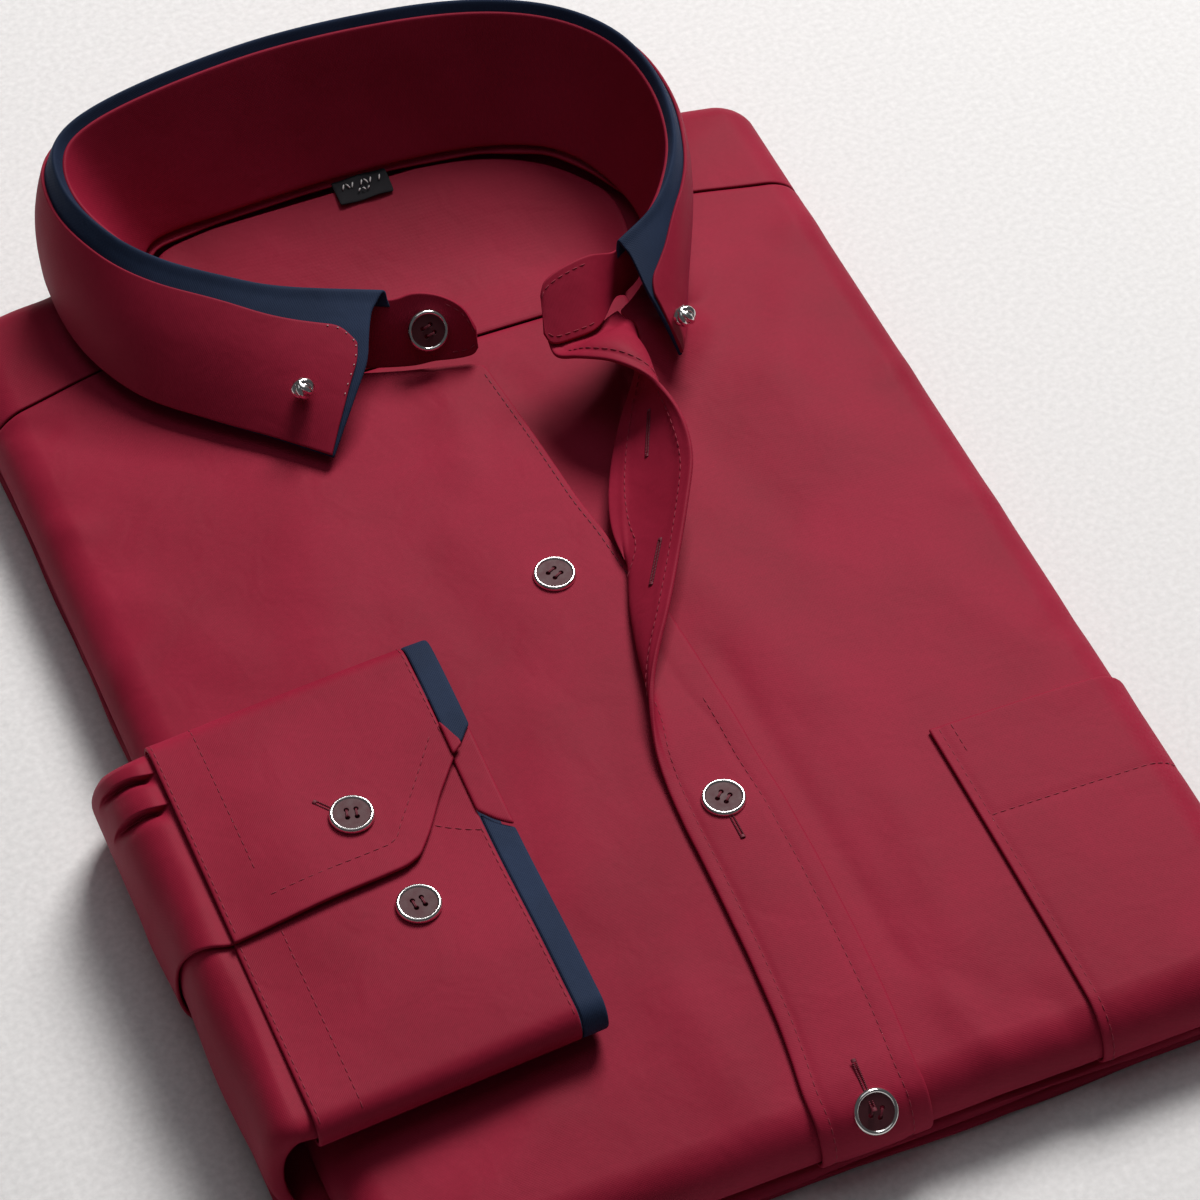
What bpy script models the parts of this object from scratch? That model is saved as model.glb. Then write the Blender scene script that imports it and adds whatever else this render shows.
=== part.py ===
"""A folded dress shirt, as closed solids, one object for each piece that a maker cuts and sews.

Sizes and tables are in millimetres and are turned into metres where the meshes are made. +X is the
wearer's left, +Y runs from the bottom fold to the collar and +Z is up. The origin is on the underside.
"""
import math

import bmesh
import bpy
import numpy as np

MM = 0.001

# ---- driving sizes ----
CLOTH = 1.2             # wall of one piece of cloth
GAP = 0.3               # clearance between pieces
FLAT_X = 102.0          # half width of the flat middle of the fold
FLAT_FRONT = -134.0     # flat middle, towards the bottom fold
FLAT_BACK = 159.0       # flat middle, towards the collar
FOLD_RADIUS = 8.5       # radius of the side folds, before the cloth
FOLD_CENTRE_Z = 12.0    # height of the side folds' centre line
CROWN = 3.0             # rise of the middle above the edges
NECK_DIP = 5.0          # how far the inside of the neck lies below the fronts
NECK_RAISE = 6.5        # how much the folded yoke lifts the back of the neck
BACK_BULGE = 10.0       # how far the back edge stands out behind the neck
SHOULDER_SEAM_Y = 134.0  # shoulder seams, near the neck
SHOULDER_DROP = 3.0     # how far the back edge comes forward at the shoulders
WRAP_ANGLE = math.radians(118)
CORE_INSET = 1.2        # how far the hidden layers stay inside the cloth
EDGE_TOP = FOLD_CENTRE_Z + FOLD_RADIUS

PANEL_LIFT = GAP                      # underside of a front panel above the hidden layers
SECOND_LIFT = PANEL_LIFT + CLOTH + GAP    # underside of what lies on a front panel

WINE = (0.270, 0.018, 0.050)
NAVY = (0.026, 0.045, 0.098)
STEEL = (0.80, 0.79, 0.76)
BLACK = (0.012, 0.012, 0.014)

# Edges of the plies under the main fold: reach outside the flat middle, height.
PLY_PROFILE = (
    ("groove", 4.6, 6.4),
    ("ply_two", 8.7, 5.5),
    ("ply_two", 8.7, 3.7),
    ("groove", 5.8, 3.1),
    ("ply_one", 8.3, 2.3),
    ("ply_one", 7.8, 0.0),
)

# Collar, from the wearer's right front round the back to the left front.
# Columns: seam x, y and its rise over the fold; roll x, y, z; hem x, y, z.
COLLAR = (
    (-8.0, 101.0, 0.0, -10.5, 112.0, 42.5, -38.0, 79.0, 26.2),
    (-24.0, 107.0, 0.0, -34.0, 121.0, 45.0, -50.0, 92.0, 26.0),
    (-37.0, 116.0, 0.0, -47.0, 128.0, 47.5, -61.0, 103.0, 26.0),
    (-50.0, 129.0, 0.0, -61.0, 138.0, 50.5, -74.0, 118.0, 26.0),
    (-58.0, 142.0, 0.0, -70.0, 149.0, 53.5, -81.0, 137.0, 26.0),
    (-61.5, 155.0, 0.0, -75.5, 164.0, 57.0, -82.0, 157.0, 26.0),
    (-55.0, 165.0, 0.0, -72.0, 177.5, 60.5, -78.0, 174.0, 27.0),
    (-37.0, 167.0, 0.0, -54.0, 184.0, 63.0, -57.0, 185.0, 28.0),
    (-12.0, 168.0, 0.0, -18.0, 187.0, 65.0, -18.0, 187.0, 28.5),
    (12.0, 167.5, 0.0, 16.0, 185.0, 65.0, 17.0, 186.0, 28.5),
    (35.0, 164.5, 0.0, 42.0, 180.5, 63.5, 44.0, 182.0, 28.0),
    (52.0, 158.0, 0.0, 61.0, 172.5, 61.0, 66.0, 174.0, 27.5),
    (62.0, 148.5, 0.0, 72.5, 160.0, 58.5, 80.0, 158.0, 26.5),
    (66.5, 134.0, 0.0, 76.0, 143.5, 56.5, 80.0, 138.0, 26.5),
    (65.0, 120.0, 0.0, 73.5, 127.0, 54.5, 71.5, 118.0, 26.5),
    (58.5, 109.0, 1.8, 67.5, 115.5, 52.0, 63.5, 99.0, 27.5),
    (51.0, 100.0, 5.8, 59.0, 107.0, 49.0, 58.5, 84.0, 29.5),
    (44.0, 94.5, 9.4, 47.5, 101.5, 46.5, 53.0, 73.0, 31.0),
)
# Front tabs of the stand, each from its free end. Columns: bottom x, y, z; top x, y, z.
TAB_RIGHT = (
    (8.3, 97.6, 29.0, 8.2, 99.5, 33.5),
    (6.5, 97.2, 27.4, 6.5, 103.5, 38.5),
    (2.0, 98.0, 27.0, 2.0, 107.5, 41.0),
    (-3.0, 99.3, 27.0, -4.0, 110.0, 42.0),
)
TAB_LEFT = (
    (21.3, 85.5, 40.5, 23.4, 93.5, 45.5),
    (22.6, 83.0, 38.6, 25.5, 95.6, 47.8),
    (28.0, 82.8, 38.3, 31.0, 97.6, 48.6),
    (36.0, 84.6, 37.8, 39.5, 99.6, 48.0),
)
# Placket where it peels open. Each row runs across the strip.
# Columns: free edge x, y, z; middle x, y, z; roll x, y, z; seam with the front x, y, z.
LAPEL = (
    (-3.4, -45.0, 27.3, 4.0, -45.0, 26.6, 11.0, -45.0, 26.6, 20.0, -45.0, 26.6),
    (-1.5, -35.0, 29.2, 3.0, -34.5, 27.4, 10.5, -34.0, 26.7, 20.0, -33.0, 26.6),
    (3.0, -24.0, 31.5, 3.0, -24.5, 28.4, 7.5, -24.0, 27.1, 19.6, -22.0, 26.6),
    (8.5, -14.5, 33.0, 5.0, -15.0, 29.4, 7.0, -14.0, 27.2, 19.2, -12.0, 26.6),
    (16.0, -4.0, 34.8, 9.0, -4.5, 30.2, 8.2, -4.0, 27.2, 18.6, -2.0, 26.6),
    (25.0, 10.0, 36.5, 16.0, 9.5, 31.0, 11.6, 9.0, 27.2, 18.0, 10.0, 26.6),
    (33.0, 23.0, 38.5, 25.5, 23.0, 33.2, 18.5, 23.5, 28.6, 15.0, 24.0, 26.8),
    (39.0, 34.0, 40.0, 31.5, 35.0, 34.2, 24.5, 36.5, 29.0, 18.5, 38.0, 25.6),
    (41.2, 44.0, 42.0, 36.0, 46.0, 36.0, 30.5, 49.0, 30.0, 25.5, 52.0, 25.4),
    (40.5, 53.0, 43.5, 39.5, 56.0, 38.5, 37.0, 60.0, 32.0, 33.5, 64.0, 26.0),
    (37.5, 60.0, 44.5, 40.5, 64.0, 42.5, 42.5, 69.0, 36.5, 41.0, 73.0, 28.5),
    (31.5, 67.0, 44.8, 36.5, 70.5, 44.8, 42.0, 75.0, 40.0, 44.8, 80.5, 31.5),
    (25.0, 73.5, 42.5, 31.0, 76.0, 43.2, 38.5, 79.5, 40.5, 45.8, 86.0, 33.8),
    (21.8, 80.0, 38.2, 29.0, 80.5, 38.2, 37.0, 83.0, 37.4, 45.0, 90.0, 34.6),
)
FLAT_PLACKET_ROWS = ((-134.0, -9.5, 17.5), (-118.0, -7.2, 19.0), (-98.0, -5.8, 20.0), (-78.0, -5.0, 20.6),
                     (-60.0, -4.4, 20.6))     # y, free edge x, seam x
# Free edge of the wearer's right front, from the bottom to the neck: y, x.
RIGHT_EDGE = ((-134.0, 14.0), (-60.0, 17.0), (0.0, 17.0), (20.0, 15.6), (33.0, 14.6), (44.0, 13.0), (70.0, 11.2),
              (97.0, 8.8))
# Neck edge of the wearer's left front, from the placket's top to the shoulder seam: x, y, rise over the fold.
NECK_EDGE_LEFT = ((50.5, 98.0, 5.5), (59.0, 108.0, 1.6), (65.6, 119.0, 0.4), (67.5, 128.0, 0.2),
                  (68.6, 134.0, 0.0))

# Neck edge of the outer yoke: x, y.
YOKE_NECK = ((-63.5, 134.4), (-62.6, 150.0), (-60.5, 158.0), (-55.0, 163.4), (-37.0, 165.6), (-12.0, 166.6),
             (12.0, 166.2), (35.0, 163.2), (52.0, 156.8), (62.0, 147.4), (66.5, 138.0), (68.0, 134.4))
# Inner yoke and the back below it, inside the neck: y, left x, right x.
INNER_YOKE = ((110.4, -40.0, 54.0), (120.0, -43.0, 60.0), (130.0, -49.0, 63.0), (142.0, -58.0, 63.0),
              (151.0, -60.0, 57.0), (158.0, -57.5, 47.0), (163.0, -52.0, 33.0), (165.2, -38.0, 17.0))
INNER_BACK = ((4.0, -43.0, 49.0), (30.0, -43.0, 49.0), (56.0, -43.0, 49.0), (84.0, -43.0, 49.0), (110.0, -40.0, 54.0))

# Cuff and sleeve
CUFF_SEAM_X = -112.2
CUFF_EDGE_X = -49.3
TRIM_WIDTH = 6.2
CUFF_LOW_Z = 26.6          # middle of the ply on the front
CUFF_UNDER_Z = 35.4        # middle of the outer ply, lower part
CUFF_LAP_Z = 37.2          # middle of the lap
CUFF_TOP_Y = 6.4
CUFF_BOTTOM_Y = -108.4
CUFF_UNDER_START_Y = -14.0
CUFF_FLARE = 5.0           # how much further the upper fold reaches at the cuff's edge
CUFF_RISE = 1.4            # how far the outer plies swell between the folds
TRIM_UNDER_START_Y = -47.5
# Lap's end: x, y. The corner is cut.
LAP_END = ((-112.2, -56.0), (-92.0, -54.6), (-77.0, -53.4), (-70.0, -52.6), (-66.0, -51.0), (-61.5, -45.6),
           (-56.0, -37.6), (-49.3, -29.6))
# Sleeve round the side, from the cuff's seam down to the underside: x, z, top y, bottom y.
SLEEVE = (
    (-112.9, 36.4, 5.0, -107.0),
    (-116.5, 36.6, 9.0, -107.0),
    (-120.5, 34.6, 15.0, -107.0),
    (-123.9, 30.0, 18.5, -107.0),
    (-125.6, 23.5, 19.5, -107.0),
    (-125.8, 16.0, 19.5, -107.5),
    (-124.2, 9.0, 19.0, -108.0),
    (-120.8, 3.8, 18.0, -108.0),
    (-116.0, 1.4, 17.0, -108.0),
)
SLIT_Y = -52.0
SLIT_OVERLAP = 5.0
# Pleats of the sleeve: y at the cuff, y at the side fold, height.
PLEATS = ((0.5, -6.0, 2.4), (-10.0, -22.0, 2.2))

# Pocket and buttons
LABEL_X = (-5.0, 10.0)
LABEL_Y = (159.8, 162.4, 165.0)
POCKET_EDGE_X = 60.0
POCKET_TOP_Y = -54.0
BUTTON_RADIUS = 5.3
BUTTON_HEIGHT = 2.4
RIM_WIDTH = 0.9
HOLE_RADIUS = 0.55
HOLE_SPREAD = 1.25
# Buttons: x, y, z of the seat, lean in degrees towards the bottom fold, lean towards the wearer's right.
BUTTONS = (
    ("stand", -3.3, 102.2, 35.6, 52.0, 6.0),
    ("front_one", -2.0, 24.0, 25.4, 0.0, 0.0),
    ("front_two", 7.0, -55.0, 27.2, 0.0, 0.0),
    ("front_three", 4.5, -142.0, 20.4, 42.0, 0.0),
    ("cuff_lap", -76.2, -34.8, 39.7, 0.0, 0.0),
    ("cuff_under", -71.0, -62.6, 37.9, 0.0, 0.0),
)
STUDS = (("stud_right", 0.575, 0.67), ("stud_left", 16.80, 0.77))     # name, collar station, share of the leaf


# ---- small maths ----
def smooth(value):
    value = min(max(value, 0.0), 1.0)
    return value * value * (3.0 - 2.0 * value)


def unit(vector):
    return vector / max(np.linalg.norm(vector), 1e-9)


def catmull(points, position):
    """Point on a smooth curve through points; position counts them from 0."""
    points = np.asarray(points, float)
    index = int(min(max(math.floor(position), 0), len(points) - 2))
    t = position - index
    b, c = points[index], points[index + 1]
    a = points[index - 1] if index > 0 else 2 * b - c
    d = points[index + 2] if index + 2 < len(points) else 2 * c - b
    return 0.5 * (2 * b + (c - a) * t + (2 * a - 5 * b + 4 * c - d) * t**2 + (3 * b - a - 3 * c + d) * t**3)


def table_value(table, key):
    """Straight-line reading of a two-column table."""
    keys = [row[0] for row in table]
    return float(np.interp(key, keys, [row[1] for row in table]))


def grid_normals(grid):
    """Unit normals of a grid of points, by differences along its rows and columns."""
    along = np.gradient(grid, axis=0)
    across = np.gradient(grid, axis=1)
    normals = np.cross(across, along)
    return normals / np.maximum(np.linalg.norm(normals, axis=2, keepdims=True), 1e-9)


# ---- the folded body ----
def plan_point(s, t):
    """Nearest point of the flat middle, outward direction and how far past it (s, t) lies along the cloth."""
    x = min(max(s, -FLAT_X), FLAT_X)
    y = min(max(t, FLAT_FRONT), FLAT_BACK)
    a, b = abs(s - x), abs(t - y)
    reach = max(a, b)
    if reach == 0.0:
        return x, y, 0.0, 0.0, 0.0
    quarter = math.pi / 4
    angle = quarter * b / a if a >= b else 2 * quarter - quarter * a / b
    return x, y, math.copysign(math.cos(angle), s), math.copysign(math.sin(angle), t - y), reach


def shape_plan(x, y, z, inner):
    """Crown, raised neck and bulging back edge, in proportion to the height."""
    share = z / EDGE_TOP
    span_y = (FLAT_BACK - FLAT_FRONT) / 2
    middle_y = (FLAT_BACK + FLAT_FRONT) / 2
    crown = CROWN * max(0.0, 1 - (x / FLAT_X) ** 2) * max(0.0, 1 - ((y - middle_y) / span_y) ** 4)
    raised = NECK_RAISE * smooth((y - 125) / 38) * smooth((74 - abs(x)) / 22)
    z += share * (crown + raised)
    if inner:
        z -= NECK_DIP * smooth((66 - abs(x - 3)) / 16) * smooth((y + 12) / 20) * smooth((166 - y) / 34)
    return np.array((x, y + back_shift(x, y), z))


def back_shift(x, y):
    """How far the back edge's bulge and the shoulders' drop move a place along the body."""
    bulge = BACK_BULGE * smooth((88 - abs(x)) / 34) - SHOULDER_DROP * smooth((abs(x) - 88) / 22)
    return bulge * smooth((y - 128) / 36)


def cloth_y(x, y):
    """The flat place that the bulge moves to y."""
    t = y
    for _step in range(8):
        t = y - back_shift(x, t)
    return t


def body_point(s, t, lift, inner=False):
    """Point of the folded body at cloth coordinates (s, t), lift above the hidden layers."""
    x, y, out_x, out_y, reach = plan_point(s, t)
    angle = reach / FOLD_RADIUS
    radius = FOLD_RADIUS + lift
    out = radius * math.sin(angle)
    z = FOLD_CENTRE_Z + radius * math.cos(angle)
    return shape_plan(x + out_x * out, y + out_y * out, z, inner)


WRAP = FOLD_RADIUS * WRAP_ANGLE
WRAP_STEPS = tuple(WRAP * share for share in (0.27, 0.52, 0.76, 1.0))


def wrapped(values, limit, sign):
    """A list of cloth coordinates that goes on round the fold past limit."""
    return list(values) + [limit + sign * step for step in WRAP_STEPS]


# ---- meshes ----
def material(name, colour, roughness, metallic=0.0):
    found = bpy.data.materials.get(name)
    if found:
        return found
    made = bpy.data.materials.new(name)
    made.use_nodes = True
    shader = made.node_tree.nodes["Principled BSDF"]
    shader.inputs["Base Color"].default_value = (*colour, 1.0)
    shader.inputs["Roughness"].default_value = roughness
    shader.inputs["Metallic"].default_value = metallic
    return made


def add_object(name, verts, faces, look, smooth_shade=True):
    mesh = bpy.data.meshes.new(name)
    mesh.from_pydata([tuple(float(c) * MM for c in v) for v in verts], [], faces)
    tidy = bmesh.new()
    tidy.from_mesh(mesh)
    bmesh.ops.recalc_face_normals(tidy, faces=tidy.faces)
    tidy.to_mesh(mesh)
    tidy.free()
    if smooth_shade:
        mesh.shade_smooth()
        mesh.set_sharp_from_angle(angle=math.radians(40))
    mesh.materials.append(material(*look))
    made = bpy.data.objects.new(name, mesh)
    bpy.context.scene.collection.objects.link(made)
    return made


def wall(name, upper, lower, look):
    """A closed wall between two grids of the same shape."""
    upper, lower = np.asarray(upper), np.asarray(lower)
    rows, cols = upper.shape[:2]
    verts = list(upper.reshape(-1, 3)) + list(lower.reshape(-1, 3))
    shift = rows * cols
    faces = []
    for i in range(rows - 1):
        for j in range(cols - 1):
            a, b = i * cols + j, i * cols + j + 1
            c, d = (i + 1) * cols + j + 1, (i + 1) * cols + j
            for corners in ((a, b, c), (a, c, d)):
                faces.append(corners)
                faces.append(tuple(corner + shift for corner in corners[::-1]))
    rim = [j for j in range(cols)]
    rim += [i * cols + cols - 1 for i in range(1, rows)]
    rim += [(rows - 1) * cols + j for j in range(cols - 2, -1, -1)]
    rim += [i * cols for i in range(rows - 2, 0, -1)]
    for k, first in enumerate(rim):
        second = rim[(k + 1) % len(rim)]
        faces.append((second, first, first + shift, second + shift))
    return add_object(name, verts, faces, look)


def sheet_wall(name, middle, up, down, look):
    """A wall about a grid of points: up and down are its reach along the normals."""
    middle = np.asarray(middle, float)
    normals = grid_normals(middle)
    return wall(name, middle + normals * up, middle - normals * down, look)


CLOTH_LOOK = ("wine_cloth", WINE, 0.55)
NAVY_LOOK = ("navy_cloth", NAVY, 0.6)
STEEL_LOOK = ("polished_rim", STEEL, 0.15, 1.0)
BUTTON_LOOK = ("wine_button", WINE, 0.25)
LABEL_LOOK = ("label_black", BLACK, 0.7)


def body_panel(name, rows, lift, look=CLOTH_LOOK, inner=False):
    """A panel on the body: rows of (s, t, extra rise) and the lift of its underside."""
    def layer(height):
        return [[body_point(s, t, height, inner) + np.array((0, 0, rise)) for s, t, rise in row] for row in rows]
    return wall(name, layer(lift + CLOTH), layer(lift), look)


# ---- hidden layers ----
def folded_layers():
    """Everything folded out of sight, as one rounded solid with the plies' edges under the main fold."""
    s_flat = [-FLAT_X, -86, -74, -63, -47, 0, 53, 69, 78, 88, FLAT_X]
    t_flat = [FLAT_FRONT, -75, -14, 6, 60, 110, 132, 146, FLAT_BACK]
    s_list = [-FLAT_X - step for step in WRAP_STEPS[::-1]] + s_flat + [FLAT_X + step for step in WRAP_STEPS]
    t_list = [FLAT_FRONT - step for step in WRAP_STEPS[::-1]] + t_flat + [FLAT_BACK + step for step in WRAP_STEPS]
    rows, cols = len(t_list), len(s_list)
    verts = [body_point(s, t, -CORE_INSET, inner=True) for t in t_list for s in s_list]
    faces = [(i * cols + j, i * cols + j + 1, (i + 1) * cols + j + 1, (i + 1) * cols + j)
             for i in range(rows - 1) for j in range(cols - 1)]
    rim = [(0, j) for j in range(cols)] + [(i, cols - 1) for i in range(1, rows)]
    rim += [(rows - 1, j) for j in range(cols - 2, -1, -1)] + [(i, 0) for i in range(rows - 2, 0, -1)]
    ring = [i * cols + j for i, j in rim]
    for _ply, reach, height in PLY_PROFILE:
        start = len(verts)
        for i, j in rim:
            x, y, out_x, out_y, _past = plan_point(s_list[j], t_list[i])
            verts.append(shape_plan(x + out_x * reach, y + out_y * reach, height, False))
            if height == 0.0:
                verts[-1][2] = 0.0
        below = list(range(start, start + len(rim)))
        count = len(ring)
        faces += [(ring[k], ring[(k + 1) % count], below[(k + 1) % count], below[k]) for k in range(count)]
        ring = below
    faces.append(tuple(ring))
    return add_object("folded_layers", verts, faces, CLOTH_LOOK)


def sleeve_layers(body):
    """The hidden plies of the sleeve, round the side of the body and inside the cuff, joined to the body's own."""
    inside = GAP + CLOTH / 2 + 0.7
    outer = [(-57.0, CUFF_UNDER_Z - inside), (-84.0, CUFF_UNDER_Z - inside)]
    outer += [(x + (inside + 0.4) * (x < -118), z - inside * (z > 20) + (inside + 0.3) * (z < 12))
              for x, z, _top, _bottom in SLEEVE[:-1]]
    inner = [(-114.4, 3.9), (-109.0, 3.9), (-109.0, 5.3), (-114.4, 5.6), (-114.4, 9.0), (-114.4, 15.0), (-114.0, 21.0), (-113.4, CUFF_LOW_Z + inside),
             (-84.0, CUFF_LOW_Z + inside), (-57.0, CUFF_LOW_Z + inside)]
    outline = outer + inner
    stations = (-101.5, -50.0, -1.0)
    verts, faces = [], []
    for y in stations:
        verts += [(x, y, z) for x, z in outline]
    count = len(outline)
    for k in range(len(stations) - 1):
        for m in range(count):
            a, b = k * count + m, k * count + (m + 1) % count
            faces.append((a, b, b + count, a + count))
    faces.append(tuple(range(count)))
    faces.append(tuple(range(len(verts) - count, len(verts))))
    plies = add_object("sleeve_plies", verts, faces, CLOTH_LOOK, smooth_shade=False)
    plies.hide_render = True
    plies.display_type = "WIRE"
    joined = body.modifiers.new("sleeve_plies", "BOOLEAN")
    joined.operation = "UNION"
    joined.object = plies


# ---- fronts, placket, yoke and back ----
def shoulder_y(s):
    """Shoulder seam's place along the body at s across it."""
    return SHOULDER_SEAM_Y - 6.0 * smooth((abs(s) - 72) / 40)


FRONT_SHARES = (0, 0.06, 0.3, 0.65, 1.0)       # places across the wearer's right front
LEFT_SHARES = (0, 0.07, 0.16, 0.3, 0.6, 1.0)     # the same on the left front, closer near the placket


def front_right():
    t_flat = [-134, -95, -60, -25, 0, 20, 33, 44, 70, 97]
    rows = []
    for t in [FLAT_FRONT - step for step in WRAP_STEPS[::-1]] + t_flat:
        edge = table_value(RIGHT_EDGE, t)
        s_row = [edge + (-FLAT_X - edge) * share for share in FRONT_SHARES]
        rows.append([(s, t, 0.0) for s in wrapped(s_row, -FLAT_X, -1)])
    # Above the tab the panel follows the neck seam to the shoulder.
    neck = ((-8.0, 100.6), (-24.0, 106.6), (-37.0, 115.6), (-49.6, 128.4), (-53.5, SHOULDER_SEAM_Y))
    for x, y in neck:
        s_row = [x + (-FLAT_X - x) * share for share in FRONT_SHARES]
        row = []
        for s in wrapped(s_row, -FLAT_X, -1):
            row.append((s, y + (shoulder_y(s) - SHOULDER_SEAM_Y) * smooth((y - 100) / 34), 0.0))
        rows.append(row)
    return body_panel("front_right", rows, PANEL_LIFT)


def lapel_rows(samples=2):
    """Top face of the placket, row by row, from the bottom fold to the neck."""
    rows = []
    shares = np.linspace(0, 1, 3 * samples + 1)
    for t in [FLAT_FRONT - step for step in WRAP_STEPS[::-1]] + [row[0] for row in FLAT_PLACKET_ROWS]:
        edge = table_value([(y, a) for y, a, _b in FLAT_PLACKET_ROWS], t)
        seam = table_value([(y, b) for y, _a, b in FLAT_PLACKET_ROWS], t)
        rows.append([body_point(edge + (seam - edge) * share, t, SECOND_LIFT + CLOTH) for share in shares])
    for row in LAPEL:
        controls = np.array(row).reshape(4, 3)
        rows.append([catmull(controls, 3 * share) for share in shares])
    return np.array(rows)


def placket_left():
    return sheet_wall("placket_left", lapel_rows(), 0.0, CLOTH, CLOTH_LOOK)


def front_left():
    """The wearer's left front, from the placket's seam round the side and the bottom."""
    starts = []
    for t in [FLAT_FRONT - step for step in WRAP_STEPS[::-1]] + [row[0] for row in FLAT_PLACKET_ROWS]:
        seam = table_value([(y, b) for y, _a, b in FLAT_PLACKET_ROWS], t)
        starts.append((seam + 2 * GAP, t, SECOND_LIFT - PANEL_LIFT))
    for row in LAPEL:
        x, y, z = row[9:12]
        flat = body_point(x, y, PANEL_LIFT + CLOTH)[2]
        starts.append((x + 2 * GAP, y, z - flat))
    starts += list(NECK_EDGE_LEFT)
    rows = []
    for x, y, rise in starts:
        s_row = [x + (FLAT_X - x) * share for share in LEFT_SHARES]
        row = []
        for s in wrapped(s_row, FLAT_X, 1):
            fall = 1 - smooth((s - x) / 24.0)
            row.append((s, y + (shoulder_y(s) - SHOULDER_SEAM_Y) * smooth((y - 100) / 34), rise * fall))
        rows.append(row)
    return body_panel("front_left", rows, PANEL_LIFT)


def yoke():
    s_flat = [-FLAT_X, -88, -76, -68, -63.5, -62.6, -60.5, -55, -46, -37, -12, 12, 35, 44, 52, 57, 62, 66.5, 68, 78, 90,
              FLAT_X]
    rows = []
    for s in [-FLAT_X - step for step in WRAP_STEPS[::-1]] + s_flat + [FLAT_X + step for step in WRAP_STEPS]:
        t = shoulder_y(s) + 2 * GAP
        if YOKE_NECK[0][0] < s < YOKE_NECK[-1][0]:
            t = max(t, cloth_y(s, table_value(YOKE_NECK, s)))
        stations = [t + (FLAT_BACK - t) * share for share in (0, 0.33, 0.67, 1.0)]
        rows.append([(s, t, 0.0) for t in wrapped(stations, FLAT_BACK, 1)])
    return body_panel("yoke", rows, PANEL_LIFT)


def inside_neck():
    """Inner yoke and the back below it, inside the neck opening."""
    for name, table, steps in (("yoke_inner", INNER_YOKE, 10), ("back_inner", INNER_BACK, 8)):
        rows = []
        for y, left, right in table:
            t = cloth_y(0.0, y)
            rows.append([(left + (right - left) * share, t, 0.0) for share in np.linspace(0, 1, steps)])
        body_panel(name, rows, PANEL_LIFT, inner=True)


# ---- collar ----
def collar_lines(station):
    """Seam, roll and hem points and the outward direction at a station of the collar."""
    row = catmull([entry for entry in COLLAR], station)
    ahead = catmull([entry for entry in COLLAR], station + 0.05)
    roll, hem = row[3:6], row[6:9]
    seam = np.array((row[0], row[1], seam_height(row[0], row[1]) + row[2]))
    along = unit(ahead[3:6] - row[3:6])
    outward = unit(np.cross(along, hem - roll))
    middle = np.array((0.0, 140.0, roll[2]))
    if np.dot(outward, roll - middle) < 0:
        outward = -outward
    return seam, roll, hem, outward


def height_at(x, y, lift):
    """Height of the folded body over a place seen from above."""
    s, t = x, y
    for _step in range(6):
        here = body_point(s, t, lift)
        s += x - here[0]
        t += y - here[1]
    return here[2]


def seam_height(x, y):
    """Where the stand's lower edge sits: just over the cloth below it."""
    return height_at(x, y, PANEL_LIFT + CLOTH + GAP + 0.9)


NAVY_BAND = 3.4         # how far the navy leaf shows inside the roll
STAND_TOP = 5.0         # the stand's top edge below the roll
LEAF_SHARES = (0.05, 0.2, 0.4, 0.6, 0.8, 1.0)    # rows of the leaf, from the roll to the hem
LEAF_BULGE = 2.4
ROLL_REACH = 1.1


def leaf_point(station, share):
    """Middle of the leaf's wall outside the roll, share of the way to the hem."""
    _seam, roll, hem, outward = collar_lines(station)
    return roll + (hem - roll) * share + outward * (ROLL_REACH + LEAF_BULGE * math.sin(math.pi * share))


def leaf_section(station):
    seam, roll, _hem, outward = collar_lines(station)
    down = unit(seam - roll)
    start = roll + down * NAVY_BAND - outward * 0.9
    upper = roll + down * 1.2 - outward * 0.9
    top = roll + np.array((0, 0, 1.3))
    return [start, upper, top] + [leaf_point(station, share) for share in LEAF_SHARES]


def collar():
    last = len(COLLAR) - 1
    stations = [0, 0.3, 0.65] + list(np.linspace(1.3, last - 1.3, 21)) + [last - 0.65, last - 0.3, last]
    leaf = [leaf_section(k) for k in stations]
    sheet_wall("collar_leaf", leaf, CLOTH / 2, CLOTH / 2, NAVY_LOOK)
    overlay = []
    for k in [0.10] + stations[1:-1] + [last - 0.10]:
        from_end = min(k, last - k)
        top = 0.13 + 0.14 * (1 - smooth(from_end / 1.1))
        overlay.append([leaf_point(k, share) for share in (top, *LEAF_SHARES[2:-1], 0.985)])
    overlay = np.array(overlay)
    normals = grid_normals(overlay)
    base = CLOTH / 2 + GAP + 0.1
    wall("collar_overlay", overlay + normals * (base + 1.0), overlay + normals * base, CLOTH_LOOK)
    stand = [tab_section(row) for row in TAB_RIGHT] + [stand_section(k) for k in stations]
    stand += [tab_section(row) for row in TAB_LEFT[::-1]]
    sheet_wall("collar_stand", stand, CLOTH / 2, CLOTH / 2, CLOTH_LOOK)


def stand_section(station):
    seam, roll, _hem, outward = collar_lines(station)
    top = roll + unit(seam - roll) * STAND_TOP
    return [seam + (top - seam) * share + outward * 0.8 * math.sin(math.pi * share) for share in (0, 0.33, 0.67, 1.0)]


def tab_section(row):
    bottom, top = np.array(row[:3]), np.array(row[3:])
    return [bottom + (top - bottom) * share for share in (0, 0.34, 0.67, 1.0)]


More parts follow.
